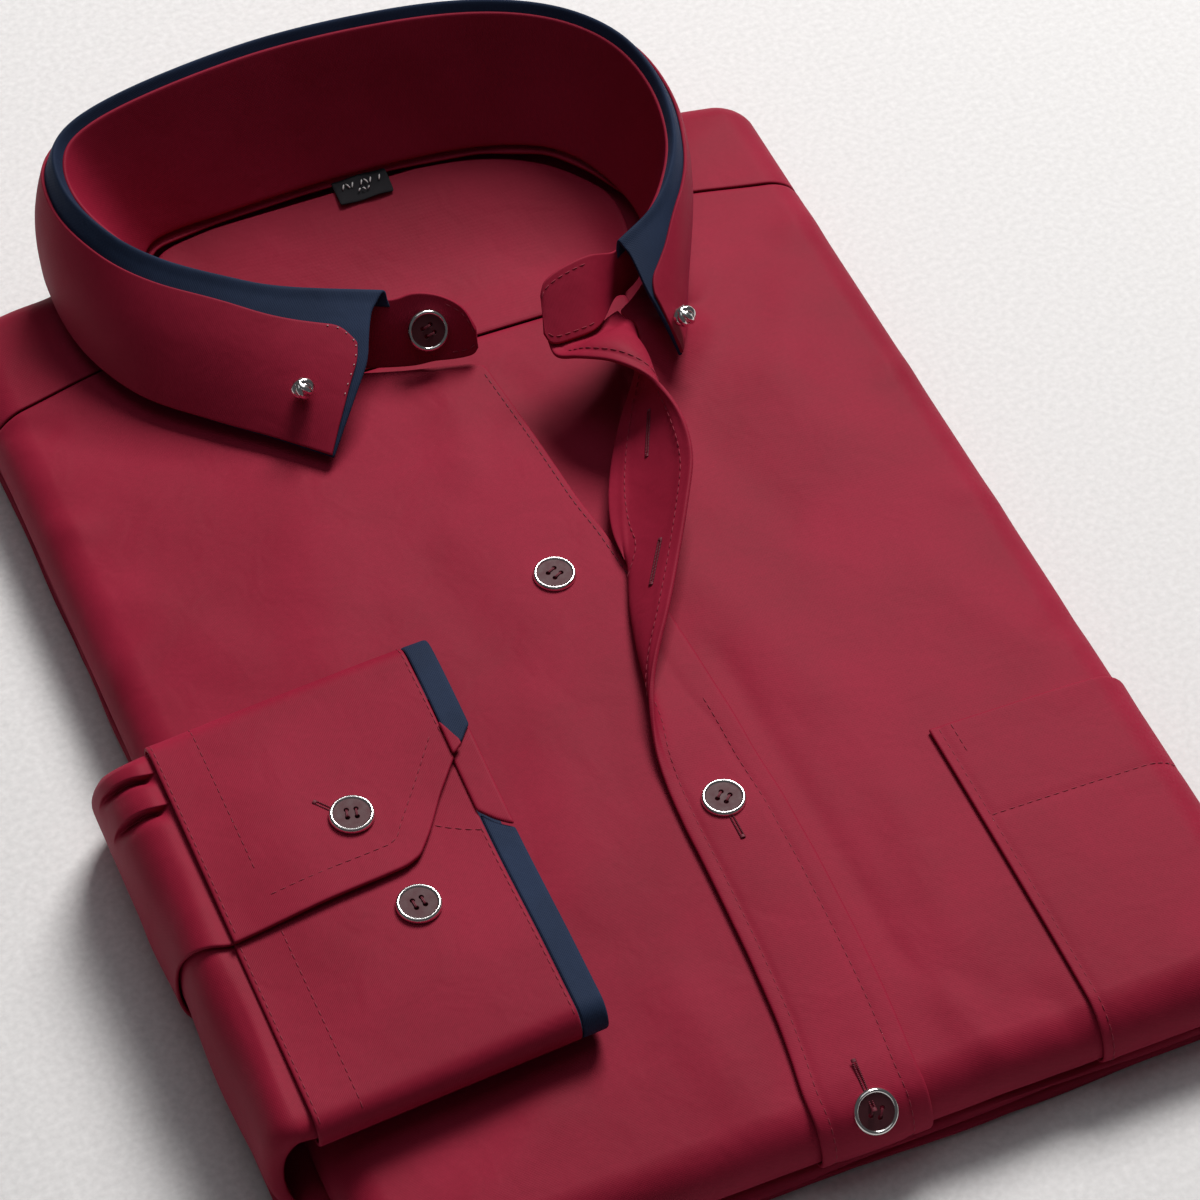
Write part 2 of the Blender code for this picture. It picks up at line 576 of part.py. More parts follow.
# ---- sleeve and cuff ----
def sleeve_point(station, y_share, lift):
    """Sleeve's outer surface: station down the table, y_share from the top edge to the bottom edge."""
    x, z, top, bottom = catmull(SLEEVE, station)
    ahead = catmull(SLEEVE, min(station + 0.05, len(SLEEVE) - 1))
    behind = catmull(SLEEVE, max(station - 0.05, 0))
    run = unit(np.array((ahead[0] - behind[0], ahead[1] - behind[1])))
    out = np.array((run[1], -run[0]))
    y = top + (bottom - top) * y_share
    edge = min(y - bottom, top - y)
    tuck = 4.0 * (1 - math.sqrt(max(0.0, 1 - (1 - min(edge / 5.0, 1.0)) ** 2)))
    pleat = sum(pleat_height(station, y, *row) for row in PLEATS)
    reach = lift - tuck + pleat
    return np.array((x + out[0] * reach, y, z + out[1] * reach))


def pleat_height(station, y, y_cuff, y_side, height):
    """A pleat's fold: steep below its line, fading above it and round the side."""
    line = y_cuff + (y_side - y_cuff) * smooth(station / 5.0)
    strength = height * smooth((station + 0.6) / 1.2) * (1 - smooth((station - 3.2) / 2.4))
    above = y - line
    if above < 0:
        return strength * (1 - smooth(-above / 1.6))
    return strength * (1 - smooth(above / 9.0))


def sleeve():
    count = len(SLEEVE) - 1
    rows_up, rows_low = [], []

    def y_share(y, station):
        _x, _z, top, bottom = catmull(SLEEVE, station)
        return (y - top) / (bottom - top)

    for k in np.linspace(0, count, 10):
        _x, _z, top, bottom = catmull(SLEEVE, k)
        ys = [top, top - 1.2, top - 3.0] + list(np.linspace(top - 5.5, SLIT_Y - 1.0, 15))
        row = []
        for y in ys:
            over = 1.6 * smooth((SLIT_Y + 14 - y) / 9.0)
            row.append((k, y_share(y, k), over))
        rows_up.append([[sleeve_point(a, b, lift + over) for lift in (0.0, -CLOTH)] for a, b, over in row])
        low = []
        for y in list(np.linspace(SLIT_Y + SLIT_OVERLAP, bottom + 5.5, 4)) + [bottom + 3, bottom + 1.2, bottom]:
            low.append([sleeve_point(k, y_share(y, k), lift) for lift in (-0.2, -0.2 - CLOTH)])
        rows_low.append(low)
    up, low = np.array(rows_up), np.array(rows_low)
    wall("sleeve_upper", up[:, :, 0], up[:, :, 1], CLOTH_LOOK)
    wall("sleeve_lower", low[:, :, 0], low[:, :, 1], CLOTH_LOOK)


def cuff_path(y_start, y_end, arc_steps=6):
    """Middle line of the cuff's wall, from its under end round both folds to the end of the lap."""
    low_radius = (CUFF_UNDER_Z - CUFF_LOW_Z) / 2
    high_radius = (CUFF_LAP_Z - CUFF_LOW_Z) / 2
    low_centre = CUFF_BOTTOM_Y + CLOTH / 2 + low_radius
    high_centre = CUFF_TOP_Y - CLOTH / 2 - high_radius
    path = [(y, CUFF_UNDER_Z) for y in np.linspace(y_start, low_centre, 6)]
    for step in range(1, arc_steps + 1):
        angle = math.pi * step / arc_steps
        path.append((low_centre - low_radius * math.sin(angle), CUFF_UNDER_Z - low_radius * (1 - math.cos(angle))))
    path += [(y, CUFF_LOW_Z) for y in np.linspace(low_centre, high_centre, 5)[1:]]
    for step in range(1, arc_steps + 1):
        angle = math.pi * step / arc_steps
        path.append((high_centre + high_radius * math.sin(angle), CUFF_LOW_Z + high_radius * (1 - math.cos(angle))))
    path += [(y, CUFF_LAP_Z) for y in np.linspace(high_centre, y_end, 6)[1:]]
    return path


def cuff_shape(x, y, z):
    """Flare of the cuff's upper end towards its edge, and the swell of its outer plies."""
    along = (x - CUFF_SEAM_X) / (CUFF_EDGE_X - CUFF_SEAM_X)
    upper = smooth((y + 60) / 62)
    share = (z - CUFF_LOW_Z) / (CUFF_LAP_Z - CUFF_LOW_Z)
    rise = CUFF_RISE * share * smooth(along / 0.4) * smooth((y - CUFF_BOTTOM_Y) / 30)
    return x + 1.4 * smooth(along) * upper, y + CUFF_FLARE * along * upper, z + rise


def cuff():
    columns = [x for x, _y in LAP_END]
    rows = [[cuff_shape(x, y, z) for y, z in cuff_path(CUFF_UNDER_START_Y, table_value(LAP_END, x))] for x in columns]
    sheet_wall("cuff", rows, CLOTH / 2, CLOTH / 2, CLOTH_LOOK)
    trim_x = (CUFF_EDGE_X + GAP, CUFF_EDGE_X + GAP + TRIM_WIDTH / 2, CUFF_EDGE_X + GAP + TRIM_WIDTH)
    trim_end = (-24.0, -27.0, -22.5)
    rows = [[cuff_shape(x, y, z) for y, z in cuff_path(TRIM_UNDER_START_Y, y_end)] for x, y_end in zip(trim_x, trim_end)]
    sheet_wall("cuff_trim", rows, CLOTH / 2, CLOTH / 2, NAVY_LOOK)


# ---- pocket, label, buttons, studs ----
def pocket():
    rows = []
    for t in [FLAT_FRONT - step for step in WRAP_STEPS[::-1]] + [FLAT_FRONT, -120, -105, -90, -75, POCKET_TOP_Y]:
        s_row = [POCKET_EDGE_X + (FLAT_X - POCKET_EDGE_X) * share for share in (0, 0.2, 0.4, 0.6, 0.8, 1.0)]
        rows.append([(s, t, 0.0) for s in wrapped(s_row, FLAT_X, 1)])
    return body_panel("pocket", rows, SECOND_LIFT)


def label():
    rows = [[(s, cloth_y(s, y), 0.0) for s in np.linspace(*LABEL_X, 4)] for y in LABEL_Y]
    return body_panel("label", rows, SECOND_LIFT, LABEL_LOOK, inner=True)


def turned(name, profile, segments, look):
    """A closed turned solid: profile is radius, height, as a loop or from axis to axis."""
    closed = profile[0][0] > 0
    verts, faces = [], []
    rings = []
    for radius, height in profile:
        if radius == 0:
            rings.append([len(verts)])
            verts.append((0, 0, height))
        else:
            rings.append(list(range(len(verts), len(verts) + segments)))
            verts += [(radius * math.cos(2 * math.pi * k / segments), radius * math.sin(2 * math.pi * k / segments),
                       height) for k in range(segments)]
    pairs = list(zip(rings, rings[1:])) + ([(rings[-1], rings[0])] if closed else [])
    for lower, upper in pairs:
        for k in range(segments):
            a, b = lower[k % len(lower)], lower[(k + 1) % len(lower)]
            c, d = upper[(k + 1) % len(upper)], upper[k % len(upper)]
            faces.append(tuple(dict.fromkeys((a, b, c, d))))
    return add_object(name, verts, faces, look)


def hole_cutter(name):
    holes = bmesh.new()
    for k in range(4):
        angle = math.pi / 4 + math.pi / 2 * k
        made = bmesh.ops.create_cone(holes, cap_ends=True, segments=6, radius1=HOLE_RADIUS * MM,
                                     radius2=HOLE_RADIUS * MM, depth=3 * BUTTON_HEIGHT * MM)
        shift = (HOLE_SPREAD * math.cos(angle) * MM, HOLE_SPREAD * math.sin(angle) * MM, 0)
        bmesh.ops.translate(holes, vec=shift, verts=made["verts"])
    mesh = bpy.data.meshes.new(name)
    holes.to_mesh(mesh)
    holes.free()
    cutter = bpy.data.objects.new(name, mesh)
    cutter.hide_render = True
    cutter.display_type = "WIRE"
    bpy.context.scene.collection.objects.link(cutter)
    return cutter


def buttons():
    inner = BUTTON_RADIUS - RIM_WIDTH - GAP
    disc_profile = ((0, 0.4), (inner, 0.5), (inner, 1.7), (inner - 1.2, 1.3), (0, 1.3))
    rim_profile = ((BUTTON_RADIUS - RIM_WIDTH, 0.5), (BUTTON_RADIUS, 0.3), (BUTTON_RADIUS, 1.9),
                   (BUTTON_RADIUS - RIM_WIDTH, BUTTON_HEIGHT))
    for name, x, y, z, lean, side in BUTTONS:
        disc = turned("button_" + name, disc_profile, 12, BUTTON_LOOK)
        rim = turned("rim_" + name, rim_profile, 14, STEEL_LOOK)
        cutter = hole_cutter("cutter_" + name)
        for piece in (disc, rim, cutter):
            piece.location = (x * MM, y * MM, z * MM)
            piece.rotation_euler = (math.radians(lean), math.radians(-side), 0)
        cut = disc.modifiers.new("holes", "BOOLEAN")
        cut.object = cutter


def studs():
    profile = ((0, 0), (1.6, 0), (2.7, 0.9), (3.0, 2.0), (2.6, 3.1), (1.5, 4.0), (0, 4.3))
    for name, station, share in STUDS:
        here = leaf_point(station, share)
        along = leaf_point(station + 0.1, share) - here
        down = leaf_point(station, share + 0.05) - here
        normal = unit(np.cross(along, down))
        _seam, _roll, _hem, outward = collar_lines(station)
        if np.dot(normal, outward) < 0:
            normal = -normal
        seat = here + normal * (CLOTH / 2 + GAP + 1.0 + 2 * GAP)
        stud = turned(name, profile, 12, STEEL_LOOK)
        stud.location = tuple(seat * MM)
        lean = math.acos(max(-1.0, min(1.0, normal[2])))
        stud.rotation_euler = (0, lean, math.atan2(normal[1], normal[0]))


def main():
    for old in list(bpy.data.objects):
        bpy.data.objects.remove(old, do_unlink=True)
    sleeve_layers(folded_layers())
    front_right()
    placket_left()
    front_left()
    yoke()
    inside_neck()
    collar()
    sleeve()
    cuff()
    pocket()
    label()
    buttons()
    studs()
    bpy.context.view_layer.update()


main()
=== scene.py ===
"""Looks for a folded dress shirt: cloth, stitching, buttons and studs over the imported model.

Lengths in tables are millimetres and are turned into metres where a mesh is made. +X is the wearer's
left, +Y runs from the bottom fold to the collar and +Z is up.
"""
import math

import bmesh
import bpy
import numpy as np
from mathutils import Matrix, Vector


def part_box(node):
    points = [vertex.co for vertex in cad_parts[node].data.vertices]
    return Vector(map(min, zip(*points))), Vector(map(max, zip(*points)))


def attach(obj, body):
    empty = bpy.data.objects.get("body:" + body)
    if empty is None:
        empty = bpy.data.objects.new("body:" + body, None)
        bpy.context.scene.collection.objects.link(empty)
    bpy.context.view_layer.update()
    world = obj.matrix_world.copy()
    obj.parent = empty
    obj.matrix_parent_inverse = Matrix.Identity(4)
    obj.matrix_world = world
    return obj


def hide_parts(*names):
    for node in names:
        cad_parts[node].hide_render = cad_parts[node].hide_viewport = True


bl_info = {
    "name": "Folded Dress Shirt",
    "version": (1, 0, 0),
    "blender": (4, 5, 0),
    "location": "3D View > Sidebar > Shirt",
    "description": "Builds the cloth, stitching, buttons and studs of a folded dress shirt",
    "category": "Add Mesh",
}

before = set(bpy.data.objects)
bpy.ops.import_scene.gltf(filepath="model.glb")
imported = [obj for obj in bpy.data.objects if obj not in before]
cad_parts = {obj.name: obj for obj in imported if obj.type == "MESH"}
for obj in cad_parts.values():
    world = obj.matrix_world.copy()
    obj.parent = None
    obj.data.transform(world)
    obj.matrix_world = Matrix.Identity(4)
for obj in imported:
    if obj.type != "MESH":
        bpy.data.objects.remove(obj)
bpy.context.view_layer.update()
MM = 0.001


def low(node):
    """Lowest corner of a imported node, in millimetres."""
    return np.array(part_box(node)[0]) / MM


def high(node):
    """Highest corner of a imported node, in millimetres."""
    return np.array(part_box(node)[1]) / MM


def centre(node):
    return (low(node) + high(node)) / 2


# ---- driving sizes ----
WALL = 1.2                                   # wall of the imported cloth
GAP = 0.3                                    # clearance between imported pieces
THIN_WALL = 0.9                              # wall of a shown sheet of one hemmed layer
STIFF_WALL = 1.15                            # wall of a shown sheet with interlining
FOLD_RADIUS = 8.5
TOP_LIFT = GAP + WALL                        # outer face of a front, yoke or back
SECOND_LIFT = 2 * TOP_LIFT                   # outer face of what lies on a front
FLAT_X = high("front_left")[0] - FOLD_RADIUS - TOP_LIFT
FLAT_FRONT = low("front_left")[1] + FOLD_RADIUS + TOP_LIFT
BACK_BULGE = 10.0
FLAT_BACK = high("yoke")[1] - FOLD_RADIUS - TOP_LIFT - BACK_BULGE
FOLD_CENTRE_Z = 12.0
CROWN = 3.0
NECK_DIP = 5.0
NECK_RAISE = 6.5
SHOULDER_SEAM_Y = 134.0
SHOULDER_DROP = 3.0
EDGE_TOP = FOLD_CENTRE_Z + FOLD_RADIUS
TUCK_ANGLE = math.radians(158)               # how far the main fold is seen to turn under
TUCK_SQUEEZE = 0.55

# Soft ridges and troughs of the body. Columns: from x, y; to x, y; width; height.
CREASES = (
    (-46, 70, -66, 8, 15, 0.8), (-102, 66, -78, 26, 10, 0.7), (-92, 112, -62, 84, 11, -0.6),
    (-30, 44, -22, 0, 10, -0.5), (-20, -14, -34, -70, 12, 0.6), (-24, -92, -20, -140, 9, 0.7),
    (-58, -112, -90, -136, 8, 0.9), (-112, 92, -98, 84, 5, 0.8), (-112, 38, -96, 46, 6, 0.7),
    (26, 22, 44, -42, 12, 0.9), (24, -12, 26, -112, 4, -0.6), (62, 92, 88, 24, 17, 1.1),
    (48, 56, 60, 12, 10, -0.6), (96, 96, 74, 58, 9, 0.7), (46, -62, 40, -116, 9, 0.7),
    (32, -120, 36, -144, 6, 0.9), (52, -128, 56, -144, 5, -0.7), (112, 60, 98, 52, 5, 0.8),
    (112, 8, 97, 14, 6, 0.8), (112, -30, 100, -38, 5, -0.7), (84, -8, 100, -46, 11, 0.8),
    (-112, 128, -96, 118, 5, -0.7), (112, 118, 98, 108, 6, 0.7), (-72, 146, -98, 152, 8, 0.7),
    (86, 146, 102, 158, 7, 0.7), (14, 96, 24, 40, 7, -0.5), (-10, 60, -2, 92, 8, 0.5),
)

# Collar: seam x, y and its rise over the fold; roll x, y, z; hem x, y, z.
COLLAR = (
    (-8.0, 101.0, 0.0, -10.5, 112.0, 42.5, -38.0, 79.0, 26.2),
    (-24.0, 107.0, 0.0, -34.0, 121.0, 45.0, -50.0, 92.0, 26.0),
    (-37.0, 116.0, 0.0, -47.0, 128.0, 47.5, -61.0, 103.0, 26.0),
    (-50.0, 129.0, 0.0, -61.0, 138.0, 50.5, -74.0, 118.0, 26.0),
    (-58.0, 142.0, 0.0, -70.0, 149.0, 53.5, -81.0, 137.0, 26.0),
    (-61.5, 155.0, 0.0, -75.5, 164.0, 57.0, -82.0, 157.0, 26.0),
    (-55.0, 165.0, 0.0, -72.0, 177.5, 60.5, -78.0, 174.0, 27.0),
    (-37.0, 167.0, 0.0, -54.0, 184.0, 63.0, -57.0, 185.0, 28.0),
    (-12.0, 168.0, 0.0, -18.0, 187.0, 65.0, -18.0, 187.0, 28.5),
    (12.0, 167.5, 0.0, 16.0, 185.0, 65.0, 17.0, 186.0, 28.5),
    (35.0, 164.5, 0.0, 42.0, 180.5, 63.5, 44.0, 182.0, 28.0),
    (52.0, 158.0, 0.0, 61.0, 172.5, 61.0, 66.0, 174.0, 27.5),
    (62.0, 148.5, 0.0, 72.5, 160.0, 58.5, 80.0, 158.0, 26.5),
    (66.5, 134.0, 0.0, 76.0, 143.5, 56.5, 80.0, 138.0, 26.5),
    (65.0, 120.0, 0.0, 73.5, 127.0, 54.5, 71.5, 118.0, 26.5),
    (58.5, 109.0, 1.8, 67.5, 115.5, 52.0, 63.5, 99.0, 27.5),
    (51.0, 100.0, 5.8, 59.0, 107.0, 49.0, 58.5, 84.0, 29.5),
    (44.0, 94.5, 9.4, 47.5, 101.5, 46.5, 53.0, 73.0, 31.0),
)
# Front tabs of the stand, each from its free end: bottom x, y, z; top x, y, z.
TAB_RIGHT = (
    (8.3, 97.6, 29.0, 8.2, 99.5, 33.5),
    (6.5, 97.2, 27.4, 6.5, 103.5, 38.5),
    (2.0, 98.0, 27.0, 2.0, 107.5, 41.0),
    (-3.0, 99.3, 27.0, -4.0, 110.0, 42.0),
)
TAB_LEFT = (
    (21.3, 85.5, 40.5, 23.4, 93.5, 45.5),
    (22.6, 83.0, 38.6, 25.5, 95.6, 47.8),
    (28.0, 82.8, 38.3, 31.0, 97.6, 48.6),
    (36.0, 84.6, 37.8, 39.5, 99.6, 48.0),
)
# Opened placket, across the strip: free edge, middle, roll, seam with the front, each x, y, z.
LAPEL = (
    (-3.4, -45.0, 27.3, 4.0, -45.0, 26.6, 11.0, -45.0, 26.6, 20.0, -45.0, 26.6),
    (-1.5, -35.0, 29.2, 3.0, -34.5, 27.4, 10.5, -34.0, 26.7, 20.0, -33.0, 26.6),
    (3.0, -24.0, 31.5, 3.0, -24.5, 28.4, 7.5, -24.0, 27.1, 19.6, -22.0, 26.6),
    (8.5, -14.5, 33.0, 5.0, -15.0, 29.4, 7.0, -14.0, 27.2, 19.2, -12.0, 26.6),
    (16.0, -4.0, 34.8, 9.0, -4.5, 30.2, 8.2, -4.0, 27.2, 18.6, -2.0, 26.6),
    (25.0, 10.0, 36.5, 16.0, 9.5, 31.0, 11.6, 9.0, 27.2, 18.0, 10.0, 26.6),
    (33.0, 23.0, 38.5, 25.5, 23.0, 33.2, 18.5, 23.5, 28.6, 15.0, 24.0, 26.8),
    (39.0, 34.0, 40.0, 31.5, 35.0, 34.2, 24.5, 36.5, 29.0, 18.5, 38.0, 25.6),
    (41.2, 44.0, 42.0, 36.0, 46.0, 36.0, 30.5, 49.0, 30.0, 25.5, 52.0, 25.4),
    (40.5, 53.0, 43.5, 39.5, 56.0, 38.5, 37.0, 60.0, 32.0, 33.5, 64.0, 26.0),
    (37.5, 60.0, 44.5, 40.5, 64.0, 42.5, 42.5, 69.0, 36.5, 41.0, 73.0, 28.5),
    (31.5, 67.0, 44.8, 36.5, 70.5, 44.8, 42.0, 75.0, 40.0, 44.8, 80.5, 31.5),
    (25.0, 73.5, 42.5, 31.0, 76.0, 43.2, 38.5, 79.5, 40.5, 45.8, 86.0, 33.8),
    (21.8, 80.0, 38.2, 29.0, 80.5, 38.0, 37.0, 83.0, 36.4, 45.0, 90.0, 32.6),
    (22.6, 87.0, 37.2, 29.2, 87.5, 35.6, 36.6, 89.5, 33.6, 44.8, 94.0, 31.4),
)
# Flat placket: y, free edge x, crease x.
FLAT_PLACKET = ((-134.0, -9.5, 17.5), (-118.0, -7.2, 19.0), (-98.0, -5.8, 20.0), (-78.0, -5.0, 20.6),
                (-60.0, -4.4, 20.6))
# Free edge of the wearer's right front: y, x.
RIGHT_EDGE = ((-134.0, 14.0), (-60.0, 17.0), (0.0, 17.0), (20.0, 15.6), (33.0, 14.6), (44.0, 13.0),
              (70.0, 11.2), (97.0, 8.8))
# Neck edges of the fronts: x, y, and the left one's rise over the fold.
NECK_EDGE_RIGHT = ((-8.0, 100.6), (-24.0, 106.6), (-37.0, 115.6), (-49.6, 128.4), (-53.5, 134.0))
NECK_EDGE_LEFT = ((50.5, 98.0, 5.5), (59.0, 108.0, 1.6), (65.6, 119.0, 0.4), (67.5, 128.0, 0.2),
                  (68.6, 134.0, 0.0))
# Neck edge of the outer yoke: x, y.
YOKE_NECK = ((-63.5, 134.4), (-62.6, 150.0), (-60.5, 158.0), (-55.0, 163.4), (-37.0, 165.6), (-12.0, 166.6),
             (12.0, 166.2), (35.0, 163.2), (52.0, 156.8), (62.0, 147.4), (66.5, 138.0), (68.0, 134.4))
# Inner yoke and back inside the neck: y, left x, right x.
INNER_YOKE = ((110.4, -40.0, 54.0), (120.0, -43.0, 60.0), (130.0, -49.0, 63.0), (142.0, -58.0, 63.0),
              (151.0, -60.0, 57.0), (158.0, -57.5, 47.0), (163.0, -52.0, 33.0), (165.2, -38.0, 17.0))
INNER_BACK = ((4.0, -43.0, 49.0), (56.0, -43.0, 49.0), (110.0, -40.0, 54.0))

# Cuff and sleeve
CUFF_SKEW = 1.4                              # how far the cuff's upper half leans past its edge
CUFF_SEAM_X = low("cuff")[0]
CUFF_EDGE_X = high("cuff")[0] - CUFF_SKEW
TRIM_EDGE_X = high("cuff_trim")[0] - CUFF_SKEW
CUFF_LOW_Z = 26.6                            # middle of the ply on the front
CUFF_UNDER_Z = 35.4                          # middle of the outer ply below the lap
CUFF_LAP_Z = 37.2                            # middle of the lap
CUFF_FLARE = 3.4                             # how much higher the upper fold is at the cuff's edge
CUFF_LOW_FLARE = 3.6                         # how much higher the bottom fold is there
CUFF_RISE = 1.4                              # swell of the outer plies between the folds
CUFF_TOP_DROP = 1.8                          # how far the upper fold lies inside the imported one
CUFF_TOP_Y = high("cuff")[1] - CUFF_FLARE - CUFF_TOP_DROP
CUFF_BOTTOM_Y = low("cuff")[1]
CUFF_UNDER_START_Y = -14.0
# Navy trim: x, where its lower part begins, where its upper part ends.
TRIM_ENDS = ((-49.3, -44.1, -20.2), (-46.7, -47.6, -27.2), (-43.0, -50.6, -22.9))
# End of the lap, with its cut corner: x, y.
LAP_END = ((-112.2, -56.0), (-92.0, -54.6), (-77.0, -53.4), (-70.0, -52.6), (-66.0, -51.0), (-61.5, -45.6),
           (-56.0, -37.6), (-49.3, -29.6))
# Stitch row along the lap's end: x, y.
LAP_STITCHES = ((-51.0, -19.5), (-55.0, -25.0), (-59.5, -31.2), (-64.0, -37.2), (-67.4, -41.8),
                (-68.6, -43.9),
                (-71.0, -45.4), (-77.0, -46.0), (-84.0, -46.5), (-93.0, -47.1), (-101.7, -47.7))
# Sleeve round the side, from the cuff's seam down to the underside: x, z, top y, bottom y.
SLEEVE = (
    (-110.4, 35.9, 5.1, -107.0),
    (-112.9, 36.3, 4.5, -107.0),
    (-116.5, 36.6, 3.8, -107.0),
    (-120.5, 34.6, 4.4, -107.0),
    (-123.9, 30.0, 6.5, -107.0),
    (-125.6, 23.5, 9.0, -107.0),
    (-125.8, 16.0, 12.0, -107.5),
    (-124.2, 9.0, 14.0, -108.0),
    (-120.8, 3.8, 15.0, -108.0),
    (-116.0, 1.4, 15.0, -108.0),
)
# Pleats of the sleeve: y at the cuff, y at the side fold, height of the lip, depth of the tuck under it.
PLEATS = ((-3.4, 1.0, 0.7, 3.4), (-13.0, -9.5, 0.8, 3.6))
POCKET_EDGE_X = low("pocket")[0]
POCKET_TOP_Y = high("pocket")[1]

# Buttons: name, lean in degrees towards the bottom fold, lean towards the wearer's right.
BUTTONS = (("stand", 52.0, 6.0), ("front_one", 0.0, 0.0), ("front_two", 0.0, 0.0), ("front_three", 42.0, 0.0),
           ("cuff_lap", 0.0, 0.0), ("cuff_under", 0.0, 0.0))


# ---- small maths ----
def smooth(value):
    value = min(max(value, 0.0), 1.0)
    return value * value * (3.0 - 2.0 * value)


def unit(vector):
    return vector / max(np.linalg.norm(vector), 1e-9)


def catmull(points, position):
    """Point on a smooth curve through points; position counts them from 0."""
    points = np.asarray(points, float)
    index = int(min(max(math.floor(position), 0), len(points) - 2))
    t = position - index
    b, c = points[index], points[index + 1]
    a = points[index - 1] if index > 0 else 2 * b - c
    d = points[index + 2] if index + 2 < len(points) else 2 * c - b
    return 0.5 * (2 * b + (c - a) * t + (2 * a - 5 * b + 4 * c - d) * t**2 + (3 * b - a - 3 * c + d) * t**3)


def table_value(table, key, column=1):
    """Straight-line reading of a table by its first column."""
    return float(np.interp(key, [row[0] for row in table], [row[column] for row in table]))


def grid_normals(grid):
    """Unit normals of a grid of points."""
    across = np.gradient(grid, axis=1)
    along = np.gradient(grid, axis=0)
    normals = np.cross(across, along)
    return normals / np.maximum(np.linalg.norm(normals, axis=2, keepdims=True), 1e-9)


def spaced(start, end, step, edge=True, marks=()):
    """Places from start to end about step apart, closer at the ends and beside each mark."""
    sign = 1.0 if end >= start else -1.0
    count = max(2, int(round(abs(end - start) / step)) + 1)
    places = list(np.linspace(start, end, count))
    if edge:
        places += [start + sign * 0.7, end - sign * 0.7]
    for mark in marks:
        places += [mark - 1.1, mark, mark + 1.1]
    inside = sorted(p for p in set(places) if min(start, end) - 1e-6 <= p <= max(start, end) + 1e-6)
    kept = [inside[0]]
    for place in inside[1:]:
        near_mark = any(abs(place - mark) < 1.2 for mark in marks)
        if place - kept[-1] > (0.45 if near_mark else 0.6):
            kept.append(place)
    kept[-1] = inside[-1]
    return kept if sign > 0 else kept[::-1]


# ---- the folded body ----
def plan_point(s, t):
    """Nearest point of the flat middle, outward direction, and how far past it (s, t) lies."""
    x = min(max(s, -FLAT_X), FLAT_X)
    y = min(max(t, FLAT_FRONT), FLAT_BACK)
    a, b = abs(s - x), abs(t - y)
    reach = max(a, b)
    if reach == 0.0:
        return x, y, 0.0, 0.0, 0.0
    quarter = math.pi / 4
    angle = quarter * b / a if a >= b else 2 * quarter - quarter * a / b
    return x, y, math.copysign(math.cos(angle), s), math.copysign(math.sin(angle), t - y), reach


def back_shift(x, y):
    """How far the back edge's bulge and the shoulders' drop move a place along the body."""
    bulge = BACK_BULGE * smooth((88 - abs(x)) / 34) - SHOULDER_DROP * smooth((abs(x) - 88) / 22)
    return bulge * smooth((y - 128) / 36)


def cloth_y(x, y):
    """The flat place that the bulge moves to y."""
    t = y
    for _step in range(8):
        t = y - back_shift(x, t)
    return t


def crease_height(x, y):
    """Height of the soft ridges and troughs at a place seen from above."""
    total = 0.0
    for x0, y0, x1, y1, width, height in CREASES:
        dx, dy = x1 - x0, y1 - y0
        length = math.hypot(dx, dy)
        along = ((x - x0) * dx + (y - y0) * dy) / length
        aside = abs((x - x0) * dy - (y - y0) * dx) / length
        if aside > 2.5 * width or along < -width or along > length + width:
            continue
        ends = smooth((along + width) / (2 * width)) * smooth((length + width - along) / (2 * width))
        total += height * ends * math.exp(-((aside / width) ** 2) * 1.6)
    return total


def shape_plan(x, y, z, inner):
    """Crown, raised neck, creases and bulging back edge, in proportion to the height."""
    share = max(z, 0.0) / EDGE_TOP
    span_y = (FLAT_BACK - FLAT_FRONT) / 2
    middle_y = (FLAT_BACK + FLAT_FRONT) / 2
    crown = CROWN * max(0.0, 1 - (x / FLAT_X) ** 2) * max(0.0, 1 - ((y - middle_y) / span_y) ** 4)
    raised = NECK_RAISE * smooth((y - 125) / 38) * smooth((74 - abs(x)) / 22)
    z += share * (crown + raised + crease_height(x, y))
    if inner:
        z -= NECK_DIP * smooth((66 - abs(x - 3)) / 16) * smooth((y + 12) / 20) * smooth((166 - y) / 34)
    return np.array((x, y + back_shift(x, y), z))


def body_point(s, t, lift, inner=False):
    """Point of the folded body at cloth coordinates (s, t), lift above the hidden layers."""
    x, y, out_x, out_y, reach = plan_point(s, t)
    angle = min(reach / FOLD_RADIUS, TUCK_ANGLE)
    radius = FOLD_RADIUS + lift
    squeeze = 1.0 if angle < math.pi / 2 else TUCK_SQUEEZE
    out = radius * math.sin(angle)
    return shape_plan(x + out_x * out, y + out_y * out, FOLD_CENTRE_Z + radius * math.cos(angle) * squeeze,
                      inner)


def height_at(x, y, lift, inner=False):
    """Height of the folded body over a place seen from above."""
    s, t = x, y
    for _step in range(6):
        here = body_point(s, t, lift, inner)
        s += x - here[0]
        t += y - here[1]
    return here[2]


WRAP = FOLD_RADIUS * TUCK_ANGLE


def round_fold(step=2.6, reach=WRAP, edge=True):
    """Distances along the cloth past the flat middle, round the main fold."""
    return spaced(0.0, reach, step, edge=edge)[1:]


def round_bottom(**settings):
    """Places along the cloth round the bottom fold, from its tuck to the flat front."""
    return [FLAT_FRONT - step for step in round_fold(**settings)[::-1]]


def shoulder_y(s):
    """Shoulder seam's place along the body at s across it."""
    return SHOULDER_SEAM_Y - 6.0 * smooth((abs(s) - 72) / 40)


# ---- meshes ----
# Rings of one stitch: share along it, share of its half width.
STITCH_RINGS = ((0.0, 0.35), (0.18, 0.86), (0.5, 1.0), (0.82, 0.86), (1.0, 0.35))
STITCH_SIDES = 6
BUTTONHOLE_THREAD = 0.20                     # half width of a bar of a buttonhole


